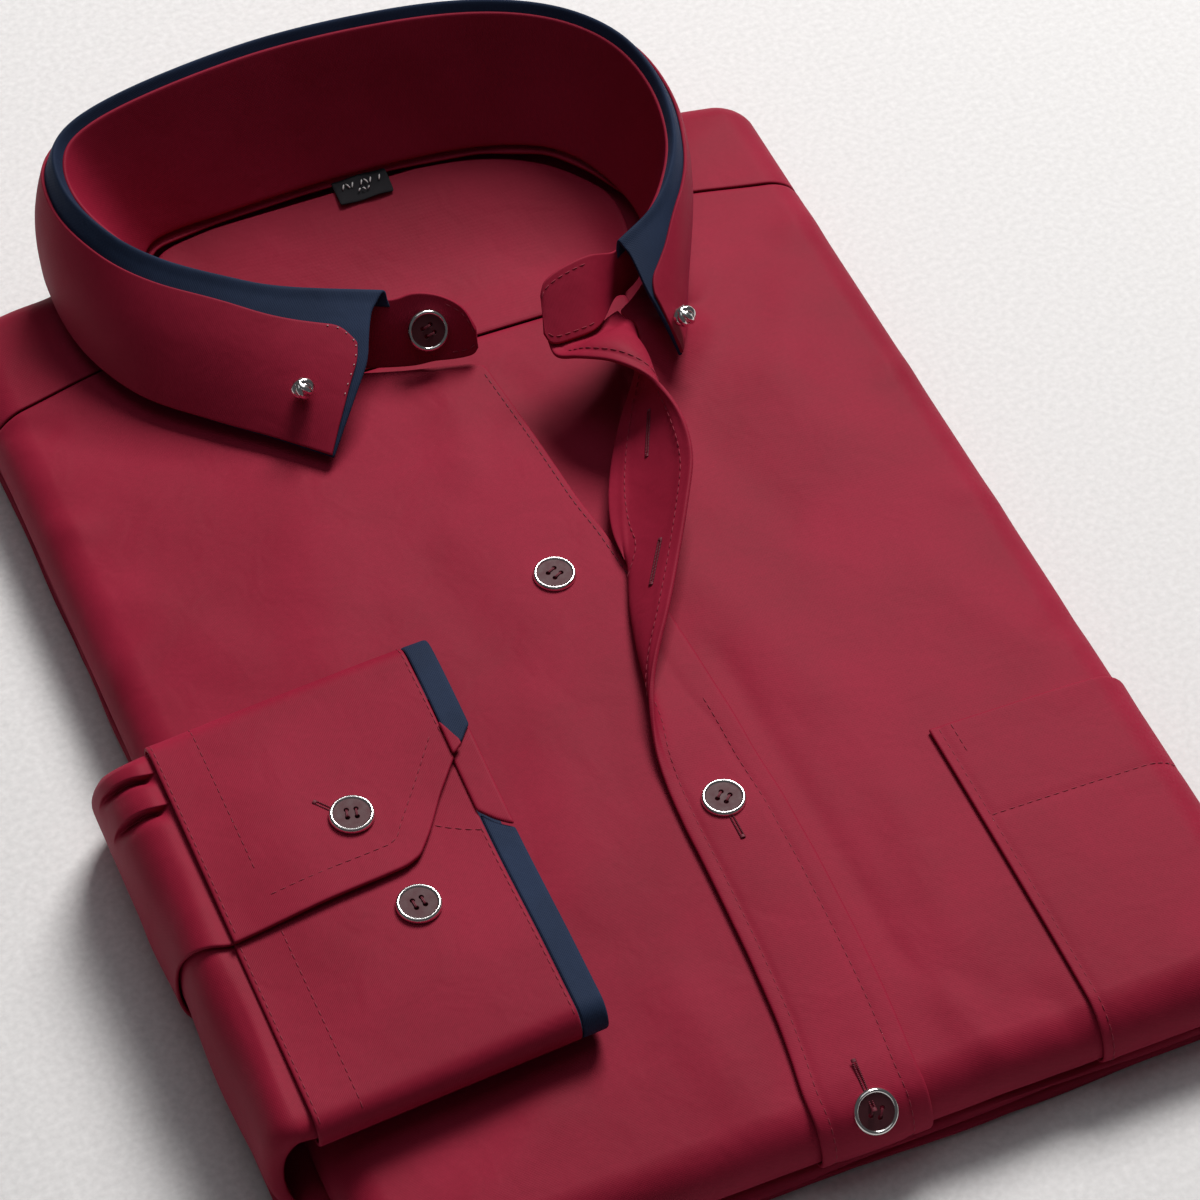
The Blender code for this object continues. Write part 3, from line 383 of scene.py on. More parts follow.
def new_object(name, verts, faces, look, uvs=None):
    """An object at the origin from points in millimetres; uvs are one pair for each point, in millimetres."""
    mesh = bpy.data.meshes.new(name)
    mesh.from_pydata([tuple(float(c) * MM for c in v) for v in verts], [], faces)
    if uvs is not None:
        layer = mesh.uv_layers.new(name="cloth")
        for loop in mesh.loops:
            layer.data[loop.index].uv = [float(c) * MM for c in uvs[loop.vertex_index]]
    mesh.shade_smooth()
    mesh.materials.append(look)
    made = bpy.data.objects.new(name, mesh)
    bpy.context.scene.collection.objects.link(made)
    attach(made, "root")
    return made


def sheet_object(name, grid, look, wall=THIN_WALL, flip=False):
    """A sheet of cloth from the grid of its outer face, with a wall, soft edges and a UV map."""
    grid = np.asarray(grid, float)
    rows, cols = grid.shape[:2]
    across = np.cumsum(np.linalg.norm(np.diff(grid, axis=1), axis=2), axis=1)
    along = np.cumsum(np.linalg.norm(np.diff(grid, axis=0), axis=2), axis=0)
    u = np.concatenate([np.zeros((rows, 1)), across], axis=1)
    v = np.concatenate([np.zeros((1, cols)), along], axis=0)
    u = u - u[:, cols // 2][:, None]
    v = np.repeat(v[:, cols // 2][:, None], cols, axis=1)
    faces = []
    for i in range(rows - 1):
        for j in range(cols - 1):
            quad = (i * cols + j, i * cols + j + 1, (i + 1) * cols + j + 1, (i + 1) * cols + j)
            faces.append(quad[::-1] if flip else quad)
    uvs = np.stack([u, v], axis=2).reshape(-1, 2)
    made = new_object(name, grid.reshape(-1, 3), faces, look, uvs)
    solid = made.modifiers.new("wall", "SOLIDIFY")
    solid.thickness = wall * MM
    solid.offset = -1.0
    solid.use_even_offset = False
    soften = made.modifiers.new("soft_edges", "SUBSURF")
    soften.levels = 1
    soften.render_levels = 1
    return made


def parallel(grid, edge, distance, start=0.0, end=1.0):
    """Points and normals of a line on a sheet's outer face, at a distance from one edge.

    edge is "first_row", "last_row", "first_col" or "last_col"; start and end are shares along it.
    """
    grid = np.asarray(grid, float)
    normals = grid_normals(grid)
    if edge.endswith("row"):
        grid, normals = np.swapaxes(grid, 0, 1), np.swapaxes(normals, 0, 1)
    if edge.startswith("last"):
        grid, normals = grid[:, ::-1], normals[:, ::-1]
    points, outward = [], []
    for line, normal in zip(grid, normals):
        run = np.concatenate([[0.0], np.cumsum(np.linalg.norm(np.diff(line, axis=0), axis=1))])
        points.append([np.interp(distance, run, line[:, axis]) for axis in range(3)])
        outward.append([np.interp(distance, run, normal[:, axis]) for axis in range(3)])
    points, outward = np.array(points), np.array(outward)
    first, last = int(round(start * (len(points) - 1))), int(round(end * (len(points) - 1)))
    return points[first:last + 1], outward[first:last + 1]


def sew(name, runs, look, length=None, pitch=None, width=None, outward=1.0):
    """Rows of stitches along runs of points with normals, as one joined mesh."""
    stitching = bpy.context.scene.shirt_stitches
    length = length or stitching.length / MM
    pitch = pitch or stitching.pitch / MM
    width = width or stitching.width / MM
    verts, faces = [], []
    for points, normals in runs:
        points, normals = np.asarray(points, float), np.asarray(normals, float) * outward
        run = np.concatenate([[0.0], np.cumsum(np.linalg.norm(np.diff(points, axis=0), axis=1))])
        place = pitch * 0.5
        while place + length < run[-1]:
            a = np.array([np.interp(place, run, points[:, k]) for k in range(3)])
            b = np.array([np.interp(place + length, run, points[:, k]) for k in range(3)])
            normal = unit(np.array([np.interp(place, run, normals[:, k]) for k in range(3)]))
            add_bead(verts, faces, a, b, normal, width / 2)
            place += pitch
    if not verts:
        raise RuntimeError(f"{name} has no stitches")
    return new_object(name, verts, faces, look)


def add_bead(verts, faces, a, b, normal, radius):
    """One rounded bar of thread from a to b, flattened against its cloth."""
    along = unit(b - a)
    side = unit(np.cross(along, normal))
    start = len(verts)
    sides = STITCH_SIDES
    for share, size in STITCH_RINGS:
        arch = normal * radius * 0.9 * (1 - (2 * share - 1) ** 2)
        middle = a + (b - a) * share + arch
        for k in range(sides):
            angle = 2 * math.pi * k / sides
            verts.append(middle + (side * math.cos(angle) + normal * 0.75 * math.sin(angle)) * radius * size)
    last_ring = start + (len(STITCH_RINGS) - 1) * sides
    for ring in range(start, last_ring, sides):
        for k in range(sides):
            p, q = ring + k, ring + (k + 1) % sides
            faces.append((p, q, q + sides, p + sides))
    faces.append(tuple(start + k for k in range(sides))[::-1])
    faces.append(tuple(last_ring + k for k in range(sides)))


def buttonhole(name, middle, along, normal, length, width):
    """Thread bars worked across both sides of a slit, with a bar tack at each end."""
    along, normal = unit(np.asarray(along, float)), unit(np.asarray(normal, float))
    across = unit(np.cross(normal, along))
    verts, faces = [], []
    count = int(length / 0.42)
    for k in range(count):
        place = middle + along * ((k + 0.5) / count - 0.5) * length
        for side in (-1, 1):
            inner = place + across * side * 0.12 - normal * 0.02
            outer = place + across * side * width / 2 - normal * 0.02
            add_bead(verts, faces, inner, outer, normal, BUTTONHOLE_THREAD)
    for end in (-1, 1):
        for k in range(4):
            place = middle + along * end * (length / 2 + 0.2 + 0.18 * k) + normal * 0.08
            half = across * width / 2
            add_bead(verts, faces, place - half, place + half, normal, BUTTONHOLE_THREAD)
    return new_object(name, verts, faces, dark_thread())


# ---- materials ----
CLOTH_RELIEF = 0.0006                        # metres


def node_group(name, inputs, outputs):
    """A new shader node group with its named sockets, and its two end nodes."""
    group = bpy.data.node_groups.new(name, "ShaderNodeTree")
    for label, kind, value in inputs:
        socket = group.interface.new_socket(name=label, in_out="INPUT", socket_type=kind)
        if value is not None:
            socket.default_value = value
    for label, kind in outputs:
        group.interface.new_socket(name=label, in_out="OUTPUT", socket_type=kind)
    return group, group.nodes.new("NodeGroupInput"), group.nodes.new("NodeGroupOutput")


def math_node(group, operation, first, second=None, third=None):
    """A Math node whose inputs are sockets or numbers; returns its output."""
    node = group.nodes.new("ShaderNodeMath")
    node.operation = operation
    for index, value in enumerate((first, second, third)):
        if value is None:
            continue
        if isinstance(value, (int, float)):
            node.inputs[index].default_value = value
        else:
            group.links.new(value, node.inputs[index])
    return node.outputs[0]


def noise_node(tree, place, scale, detail, **settings):
    """A Noise Texture at a place, with a scale that is a number or a socket; returns its factor."""
    node = tree.nodes.new("ShaderNodeTexNoise")
    tree.links.new(place, node.inputs["Vector"])
    if isinstance(scale, (int, float)):
        node.inputs["Scale"].default_value = scale
    else:
        tree.links.new(scale, node.inputs["Scale"])
    node.inputs["Detail"].default_value = detail
    for label, value in settings.items():
        node.inputs[label].default_value = value
    return node.outputs["Fac"]


def ramp_node(tree, factor, first, second, start=0.0, end=1.0):
    """A Color Ramp between two colours over part of a factor; returns its colour."""
    node = tree.nodes.new("ShaderNodeValToRGB")
    for element, position, colour in zip(node.color_ramp.elements, (start, end), (first, second)):
        element.position = position
        element.color = (*colour, 1.0)
    tree.links.new(factor, node.inputs["Fac"])
    return node.outputs["Color"]


def range_node(tree, value, low_end, high_end):
    """A Map Range of a value from 0 to 1; returns its result."""
    node = tree.nodes.new("ShaderNodeMapRange")
    node.inputs["To Min"].default_value = low_end
    node.inputs["To Max"].default_value = high_end
    tree.links.new(value, node.inputs["Value"])
    return node.outputs["Result"]


def bump_node(tree, shader, height, distance):
    """A Bump of a height on a shader's normal."""
    node = tree.nodes.new("ShaderNodeBump")
    node.inputs["Distance"].default_value = distance
    tree.links.new(height, node.inputs["Height"])
    tree.links.new(node.outputs["Normal"], shader.inputs["Normal"])


def weave_group():
    """Height of a fine sateen weave: long floats across, broken by the warp at each step."""
    name = "Sateen weave"
    if name in bpy.data.node_groups:
        return bpy.data.node_groups[name]
    group, start, end = node_group(
        name, (("UV", "NodeSocketVector", None), ("Threads per metre", "NodeSocketFloat", 2600.0)),
        (("Height", "NodeSocketFloat"), ("Floats", "NodeSocketFloat")))
    split = group.nodes.new("ShaderNodeSeparateXYZ")
    group.links.new(start.outputs["UV"], split.inputs[0])
    u = math_node(group, "MULTIPLY", split.outputs[0], start.outputs["Threads per metre"])
    v = math_node(group, "MULTIPLY", split.outputs[1], start.outputs["Threads per metre"])
    weft = math_node(group, "SINE", math_node(group, "MULTIPLY", v, 2 * math.pi))
    step = math_node(group, "ADD", math_node(group, "MULTIPLY", u, 0.4), math_node(group, "MULTIPLY", v, 0.6))
    breaks = math_node(group, "SINE", math_node(group, "MULTIPLY", step, 2 * math.pi))
    height = math_node(group, "MULTIPLY_ADD", weft, 0.6, math_node(group, "MULTIPLY", breaks, 0.4))
    group.links.new(height, end.inputs["Height"])
    group.links.new(noise_node(group, start.outputs["UV"], 900.0, 3.0), end.inputs["Floats"])
    return group


def mottle_group():
    """Slow uneven tone of dyed cloth, and the shallow crumple of its surface."""
    name = "Cloth tone"
    if name in bpy.data.node_groups:
        return bpy.data.node_groups[name]
    group, start, end = node_group(
        name, (("Position", "NodeSocketVector", None), ("Scale", "NodeSocketFloat", 26.0)),
        (("Tone", "NodeSocketFloat"), ("Crumple", "NodeSocketFloat")))
    place, scale = start.outputs["Position"], start.outputs["Scale"]
    group.links.new(noise_node(group, place, scale, 4.0, Roughness=0.55), end.inputs["Tone"])
    fine = math_node(group, "MULTIPLY", scale, 3.2)
    group.links.new(noise_node(group, place, fine, 2.0, Distortion=0.6), end.inputs["Crumple"])
    return group


def new_material(name):
    """A material with nodes, its shader, its tree and the material."""
    made = bpy.data.materials.new(name)
    made.use_nodes = True
    tree = made.node_tree
    return made, tree, tree.nodes["Principled BSDF"]


def placed_group(tree, group):
    node = tree.nodes.new("ShaderNodeGroup")
    node.node_tree = group
    return node


def cloth_material(name, dark, light, sheen_tint, sheen=0.04, rough=(0.52, 0.66), crumple=0.05, weave=0.02):
    """Dyed sateen: weave and crumple in the bump, two tones of the dye, and a soft sheen."""
    if name in bpy.data.materials:
        return bpy.data.materials[name]
    made, tree, shader = new_material(name)
    where = tree.nodes.new("ShaderNodeTexCoord")
    weave_node = placed_group(tree, weave_group())
    tree.links.new(where.outputs["UV"], weave_node.inputs["UV"])
    tone_node = placed_group(tree, mottle_group())
    tree.links.new(where.outputs["Object"], tone_node.inputs["Position"])
    dye = ramp_node(tree, tone_node.outputs["Tone"], dark, light, 0.34, 0.66)
    floats = ramp_node(tree, weave_node.outputs["Floats"], (0.72, 0.72, 0.72), (1.0, 1.0, 1.0), 0.25, 0.75)
    thread = tree.nodes.new("ShaderNodeMix")
    thread.data_type = "RGBA"
    thread.blend_type = "MULTIPLY"
    thread.inputs["Factor"].default_value = 0.35
    tree.links.new(dye, thread.inputs["A"])
    tree.links.new(floats, thread.inputs["B"])
    tree.links.new(thread.outputs["Result"], shader.inputs["Base Color"])
    tree.links.new(range_node(tree, tone_node.outputs["Tone"], *rough), shader.inputs["Roughness"])
    height = math_node(tree, "MULTIPLY_ADD", weave_node.outputs["Height"], weave,
                       math_node(tree, "MULTIPLY", tone_node.outputs["Crumple"], crumple * 10))
    bump_node(tree, shader, height, CLOTH_RELIEF)
    shader.inputs["Sheen Weight"].default_value = sheen
    shader.inputs["Sheen Roughness"].default_value = 0.38
    shader.inputs["Sheen Tint"].default_value = (*sheen_tint, 1.0)
    shader.inputs["Specular IOR Level"].default_value = 0.10
    return made


def wine_cloth():
    look = bpy.context.scene.shirt_cloth
    return cloth_material("wine_sateen", tuple(look.wine_dark), tuple(look.wine_light), (0.9, 0.10, 0.35))


def navy_cloth():
    look = bpy.context.scene.shirt_cloth
    navy = np.array(look.navy)
    return cloth_material("navy_poplin", tuple(navy * 0.78), tuple(navy * 1.22), (0.45, 0.6, 1.0), sheen=0.08,
                          rough=(0.6, 0.75), weave=0.05)


def simple_material(name, colour, roughness, metallic=0.0, bump_scale=600.0, bump_height=0.0, sheen=0.0):
    """One finish with a little noise in its roughness and, where asked, in its surface."""
    if name in bpy.data.materials:
        return bpy.data.materials[name]
    made, tree, shader = new_material(name)
    shader.inputs["Metallic"].default_value = metallic
    shader.inputs["Sheen Weight"].default_value = sheen
    where = tree.nodes.new("ShaderNodeTexCoord")
    noise = noise_node(tree, where.outputs["Object"], bump_scale, 3.0)
    colour = np.array(colour)
    tones = ramp_node(tree, noise, colour * 0.8, np.minimum(colour * 1.2, 1.0))
    tree.links.new(tones, shader.inputs["Base Color"])
    tree.links.new(range_node(tree, noise, roughness * 0.8, roughness * 1.2), shader.inputs["Roughness"])
    if bump_height:
        bump_node(tree, shader, noise, bump_height)
    return made


def wine_thread():
    return simple_material("wine_thread", bpy.context.scene.shirt_stitches.colour, 0.75, bump_scale=3000.0,
                           bump_height=0.00005)


def dark_thread():
    return simple_material("dark_thread", (0.165, 0.008, 0.026), 0.6, bump_scale=3000.0, bump_height=0.00005)


# Pale pink colour that stands in for thread glints: a painted highlight, not the thread's own colour.
def bright_thread():
    return simple_material("bright_thread", (0.55, 0.42, 0.42), 0.35, bump_scale=3000.0, bump_height=0.00005)


def polished_steel():
    return simple_material("polished_steel", (0.80, 0.78, 0.76), 0.16, metallic=1.0, bump_scale=900.0,
                           bump_height=0.00002)


def wine_resin():
    return simple_material("wine_resin", (0.070, 0.007, 0.014), 0.62, bump_scale=500.0,
                           bump_height=0.00003)


# ---- settings a user would change ----
class ShirtCloth(bpy.types.PropertyGroup):
    """Colours and wall of the cloth."""
    wine_dark: bpy.props.FloatVectorProperty(
        name="Wine, dark", description="Darker tone of the wine cloth", subtype="COLOR", size=3, min=0,
        max=1, default=(0.285, 0.011, 0.034))
    wine_light: bpy.props.FloatVectorProperty(
        name="Wine, light", description="Lighter tone of the wine cloth", subtype="COLOR", size=3, min=0,
        max=1, default=(0.350, 0.016, 0.046))
    navy: bpy.props.FloatVectorProperty(
        name="Navy", description="Colour of the under collar and the cuff trim", subtype="COLOR", size=3,
        min=0, max=1, default=(0.020, 0.034, 0.074))
    wall: bpy.props.FloatProperty(
        name="Cloth wall", description="Thickness of one hemmed layer of cloth", default=0.9 * MM,
        min=0.0003, max=0.003, unit="LENGTH", precision=5)


class ShirtStitches(bpy.types.PropertyGroup):
    """Size and colour of the stitching."""
    length: bpy.props.FloatProperty(
        name="Stitch length", description="Visible length of one stitch", default=1.7 * MM, min=0.0005,
        max=0.005, unit="LENGTH", precision=5)
    pitch: bpy.props.FloatProperty(
        name="Stitch pitch", description="Distance from one stitch to the next", default=2.3 * MM,
        min=0.001, max=0.008, unit="LENGTH", precision=5)
    width: bpy.props.FloatProperty(
        name="Thread width", description="Width of the sewing thread", default=0.26 * MM, min=0.0001,
        max=0.001, unit="LENGTH", precision=5)
    colour: bpy.props.FloatVectorProperty(
        name="Thread", description="Colour of the sewing thread", subtype="COLOR", size=3, min=0, max=1,
        default=(0.30, 0.018, 0.045))


class ShirtStage(bpy.types.PropertyGroup):
    """Floor, light and camera."""
    key_power: bpy.props.FloatProperty(
        name="Key light", description="Power of the soft light behind the collar", default=70.0, min=0,
        max=500, unit="POWER")
    fill_power: bpy.props.FloatProperty(
        name="Fill light", description="Power of the soft light overhead", default=4.5, min=0, max=500,
        unit="POWER")
    camera_azimuth: bpy.props.FloatProperty(
        name="Camera azimuth", description="Turn of the camera about the shirt",
        default=math.radians(-23.2), subtype="ANGLE")
    camera_elevation: bpy.props.FloatProperty(
        name="Camera elevation", description="Camera's height above the horizon",
        default=math.radians(50.0), subtype="ANGLE")
    camera_distance: bpy.props.FloatProperty(
        name="Camera distance", description="Camera's distance from its target", default=1.04, min=0.2,
        max=10, unit="LENGTH")
    camera_target: bpy.props.FloatVectorProperty(
        name="Camera target", description="Point that the camera looks at", default=(0.0133, 0.0319, 0.0),
        subtype="XYZ", unit="LENGTH")


class ShirtOperator:
    """What every building step shares."""
    bl_options = {"REGISTER", "UNDO"}

    def execute(self, context):
        bpy.ops.object.select_all(action="DESELECT")
        if self.build(context) is None:
            raise RuntimeError(f"{self.bl_label} made nothing")
        return {"FINISHED"}


# ---- hidden layers ----
# Edge of the folded plies, from the main fold's tuck to the underside: reach outside the flat middle, height.
PLY_EDGE = ((2.5, 8.0), (3.6, 6.9), (4.4, 6.3), (6.6, 6.2), (8.0, 5.9), (8.7, 5.2), (8.9, 4.5), (8.5, 3.8),
            (7.2, 3.4), (5.9, 3.2), (6.6, 3.0), (7.9, 2.8), (8.6, 2.2), (8.8, 1.4), (8.3, 0.5), (7.4, 0.02))


class SHIRT_OT_hidden_layers(ShirtOperator, bpy.types.Operator):
    """Build the plies folded out of sight, with their soft, uneven edges"""
    bl_idname = "shirt.hidden_layers"
    bl_label = "Hidden layers"

    def build(self, context):
        s_list = [-FLAT_X + share * 2 * FLAT_X for share in np.linspace(0, 1, 30)]
        t_list = [FLAT_FRONT + share * (FLAT_BACK - FLAT_FRONT) for share in np.linspace(0, 1, 44)]
        turn = [5.0, 10.0]
        s_list = [-FLAT_X - step for step in turn[::-1]] + s_list + [FLAT_X + step for step in turn]
        t_list = [FLAT_FRONT - step for step in turn[::-1]] + t_list + [FLAT_BACK + step for step in turn]
        rows, cols = len(t_list), len(s_list)
        verts = [body_point(s, t, -1.6, inner=True) for t in t_list for s in s_list]
        faces = [(i * cols + j, i * cols + j + 1, (i + 1) * cols + j + 1, (i + 1) * cols + j)
                 for i in range(rows - 1) for j in range(cols - 1)]
        rim = [(0, j) for j in range(cols)] + [(i, cols - 1) for i in range(1, rows)]
        rim += [(rows - 1, j) for j in range(cols - 2, -1, -1)] + [(i, 0) for i in range(rows - 2, 0, -1)]
        ring = [i * cols + j for i, j in rim]
        for reach, height in PLY_EDGE:
            start = len(verts)
            for k, (i, j) in enumerate(rim):
                x, y, out_x, out_y, _past = plan_point(s_list[j], t_list[i])
                wave = 0.45 * math.sin(0.31 * k + height) + 0.3 * math.sin(0.83 * k + 2.4 * height)
                wave *= 1.0 if height > 0.1 else 0.3
                lift = 0.25 * math.sin(0.27 * k) * smooth((height - 0.6) / 2)
                out = reach + wave
                verts.append(np.array((x + out_x * out, y + out_y * out + back_shift(x, y), height + lift)))
            below = list(range(start, start + len(rim)))
            count = len(ring)
            faces += [(ring[k], below[k], below[(k + 1) % count], ring[(k + 1) % count])
                      for k in range(count)]
            ring = below
        faces.append(tuple(ring[::-1]))
        uvs = [(v[0], v[1] + v[2]) for v in verts]
        made = new_object("hidden_plies", verts, faces, wine_cloth(), uvs)
        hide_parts("folded_layers")
        return made


# ---- fronts ----
def body_grid(rows, lift, inner=False):
    return np.array([[body_point(s, t, lift, inner) for s, t in row] for row in rows])


def right_front_rows():
    """Cloth coordinates of the wearer's right front, row by row from the bottom fold to the shoulder."""
    side = [-FLAT_X - step for step in round_fold()]
    rows = []
    shares = [0, 0.006, 0.015] + list(np.linspace(0.035, 1, 40))
    for t in round_bottom() + spaced(FLAT_FRONT, 97.0, 3.2, edge=False):
        edge = table_value(RIGHT_EDGE, t)
        rows.append([(edge + (-FLAT_X - edge) * share, t) for share in shares] + [(s, t) for s in side])
    for k in np.linspace(0, len(NECK_EDGE_RIGHT) - 1, 17):
        x, y = catmull(NECK_EDGE_RIGHT, k)
        rows.append([(s, y + (shoulder_y(s) - SHOULDER_SEAM_Y) * smooth((y - 100) / 34))
                     for s in [x + (-FLAT_X - x) * share for share in shares] + side])
    return rows


class SHIRT_OT_right_front(ShirtOperator, bpy.types.Operator):
    """Build the wearer's right front, from its open edge round the side fold"""
    bl_idname = "shirt.right_front"
    bl_label = "Right front"

    def build(self, context):
        grid = body_grid(right_front_rows(), TOP_LIFT)
        made = sheet_object("cloth_front_right", grid, wine_cloth(), wall=context.scene.shirt_cloth.wall / MM,
                            flip=True)
        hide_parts("front_right")
        runs = [parallel(grid, "first_col", 1.6, 0.05, 0.82)]
        seams = sew("stitches_right_edge", runs, dark_thread(), outward=-1.0)
        return made


def left_front_rows():
    """Cloth coordinates and rise of the wearer's left front, from the bottom fold to the shoulder."""
    starts = []
    for t in round_bottom() + spaced(FLAT_FRONT, -60.0, 3.2, edge=False):
        starts.append((table_value(FLAT_PLACKET, t, 2) - 3.0, t, 0.0))
    seam = [(row[9], row[10], row[11]) for row in LAPEL]
    for k in np.linspace(0, len(seam) - 1, 46):
        x, y, z = catmull(seam, k)
        tuck = 3.0 * smooth((30 - y) / 30)
        flat = body_point(x, y, TOP_LIFT)[2]
        starts.append((x + 0.5 - tuck, y, (z - flat - 0.6) * (1 - smooth((20 - y) / 30))))
    x, y, z = seam[-1]
    edge = [(x + 0.5, y, z - body_point(x, y, TOP_LIFT)[2] - 0.6)] + list(NECK_EDGE_LEFT)
    for k in np.linspace(0, len(edge) - 1, 19)[1:]:
        starts.append(tuple(catmull(edge, k)))
    return starts


def left_front_grid():
    side = [FLAT_X + step for step in round_fold()]
    shares = [0, 0.008, 0.02] + list(np.linspace(0.045, 1, 36))
    rows = []
    for x, y, rise in left_front_rows():
        row = []
        for s in [x + (FLAT_X - x) * share for share in shares] + side:
            fall = 1 - smooth((s - x) / 24.0)
            point = body_point(s, y + (shoulder_y(s) - SHOULDER_SEAM_Y) * smooth((y - 100) / 34), TOP_LIFT)
            row.append(point + np.array((0, 0, rise * fall)))
        rows.append(row)
    return np.array(rows)


class SHIRT_OT_left_front(ShirtOperator, bpy.types.Operator):
    """Build the wearer's left front, from the placket's seam round the side fold"""
    bl_idname = "shirt.left_front"
    bl_label = "Left front"

    def build(self, context):
        made = sheet_object("cloth_front_left", left_front_grid(), wine_cloth(),
                            wall=context.scene.shirt_cloth.wall / MM)
        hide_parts("front_left")
        return made


# ---- placket ----
def lapel_controls():
    """Rows of four control points across the placket, from the bottom fold to the neck."""
    rows = []
    for t in round_bottom(step=6.0, edge=False) + spaced(FLAT_FRONT, -58.0, 10.0, edge=False):
        edge, seam = table_value(FLAT_PLACKET, t), table_value(FLAT_PLACKET, t, 2)
        rows.append([body_point(edge + (seam - edge) * share, t, SECOND_LIFT)
                     for share in (0, 0.34, 0.67, 1.0)])
    rows += [np.array(row).reshape(4, 3) for row in LAPEL]
    return np.array(rows)


def placket_grid():
    """Outer face of the placket, with its two stitched rows pressed in."""
    controls = lapel_controls()
    shares = [0, 0.03, 0.09, 0.13, 0.17] + list(np.linspace(0.23, 0.70, 8))
    shares += [0.76, 0.80, 0.84, 0.91, 0.97, 1.0]
    rows = []
    for k in np.linspace(0, len(controls) - 1, 132):
        lines = [catmull(controls[:, column], k) for column in range(4)]
        rows.append([catmull(lines, 3 * share) for share in shares])
    grid = np.array(rows)
    normals = grid_normals(grid)
    for j, share in enumerate(shares):
        press = math.exp(-(((share - 0.13) / 0.022) ** 2)) + math.exp(-(((share - 0.80) / 0.022) ** 2))
        crown = 0.35 * math.sin(math.pi * share)
        grid[:, j] += normals[:, j] * (crown - 0.30 * press)
    return grid


# Buttonholes: name, x, y, face (1) or back (-1) of the strip, length.
PLACKET_HOLES = (("buttonhole_low", 4.7, -136.0, 1, 11.0), ("buttonhole_second", 6.4, -59.6, 1, 11.0),
                 ("buttonhole_open", 19.5, 12.0, -1, 12.0), ("buttonhole_top", 34.5, 50.0, -1, 12.0))


class SHIRT_OT_placket(ShirtOperator, bpy.types.Operator):
    """Build the placket, flat at the bottom and peeled open towards the neck, with its buttonholes"""
    bl_idname = "shirt.placket"
    bl_label = "Placket"

    def build(self, context):
        grid = placket_grid()
        made = sheet_object("cloth_placket", grid, wine_cloth(), wall=STIFF_WALL)
        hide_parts("placket_left")
        normals = grid_normals(grid)
        under = grid - normals * 1.2
        outer_rows = [parallel(grid, "first_col", 3.3, 0.0, 0.97), parallel(grid, "last_col", 4.9, 0.0, 0.55)]
        face = sew("stitches_placket_face", outer_rows, wine_thread())
        back_points, back_normals = parallel(under, "first_col", 3.3, 0.42, 0.95)
        inner_points, inner_normals = parallel(under, "last_col", 4.9, 0.42, 0.96)
        back = sew("stitches_placket_back", [(back_points, -back_normals), (inner_points, -inner_normals)],
                   wine_thread())
        holes = self.buttonholes(grid, normals)
        return made

    def buttonholes(self, grid, normals):
        """Holes on the strip's face at two buttons, and on its back where it is peeled open."""
        made = []
        for name, x, y, side, length in PLACKET_HOLES:
            away = np.hypot(grid[:, :, 0] - x, grid[:, :, 1] - y) + (grid[:, :, 2] < 18) * 99
            i, j = np.unravel_index(np.argmin(away), away.shape)
            along = grid[min(i + 3, len(grid) - 1), j] - grid[i - 3, j]
            normal = normals[i, j] * side
            seat = grid[i, j] + (normals[i, j] * 0.02 if side > 0 else -normals[i, j] * 1.20)
            made.append(buttonhole(name, seat, along, normal, length, 1.3))
        return made


# ---- yoke and back ----
def yoke_rows():
    """Cloth coordinates of the outer yoke, a row for each place across it."""
    across = [-FLAT_X - step for step in round_fold()[::-1]] + spaced(-FLAT_X, FLAT_X, 3.4, edge=False)
    across += [FLAT_X + step for step in round_fold()]
    rows = []
    for s in across:
        t = shoulder_y(s) + 2 * GAP
        if YOKE_NECK[0][0] < s < YOKE_NECK[-1][0]:
            t = max(t, cloth_y(s, table_value(YOKE_NECK, s)))
        flat = [t, t + 0.7] + [t + (FLAT_BACK - t) * share for share in np.linspace(0, 1, 9)[1:]]
        rows.append([(s, place) for place in flat + [FLAT_BACK + step for step in round_fold()]])
    return rows


class SHIRT_OT_yoke(ShirtOperator, bpy.types.Operator):
    """Build the outer yoke, and the inner yoke and back that show inside the neck"""
    bl_idname = "shirt.yoke"
    bl_label = "Yoke and back"

    def build(self, context):
        wall = context.scene.shirt_cloth.wall / MM
        outer = sheet_object("cloth_yoke", body_grid(yoke_rows(), TOP_LIFT), wine_cloth(), wall=wall,
                             flip=True)
        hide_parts("yoke")
        for name, node, table, count, flat in (
                ("cloth_yoke_inner", "yoke_inner", INNER_YOKE, 26, (0.110, 0.058)),
                ("cloth_back_inner", "back_inner", INNER_BACK, 36, (0.093, 0.107))):
            rows = []
            for k in np.linspace(0, len(table) - 1, count):
                y, left, right = catmull(table, k)
                rows.append([(x, cloth_y(0.0, y)) for x in np.linspace(left, right, 34)])
            piece = sheet_object(name, body_grid(rows, TOP_LIFT, inner=True), wine_cloth(), wall=wall)
            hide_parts(node)
        return outer


# ---- collar ----
NAVY_BAND = 3.4                              # navy that shows inside the roll
STAND_TOP = 5.0                              # how far below the roll the stand ends, before its own share
LEAF_BULGE = 2.4
ROLL_REACH = 1.1
# How far the front edge of the leaf is cut back, by the share of the way from roll to hem, in stations.
LEAF_EDGE = ((-0.2, 0.0), (0.0, 0.0), (0.05, 0.05), (0.13, 0.085), (0.25, 0.05), (0.45, -0.05),
             (0.7, -0.03), (1.0, 0.0))
# Margin of navy in front of the wine leaf, by the same share, in stations.
LEAF_MARGIN = ((0.0, 0.15), (0.3, 0.13), (0.6, 0.11), (0.85, 0.07), (1.0, 0.035))


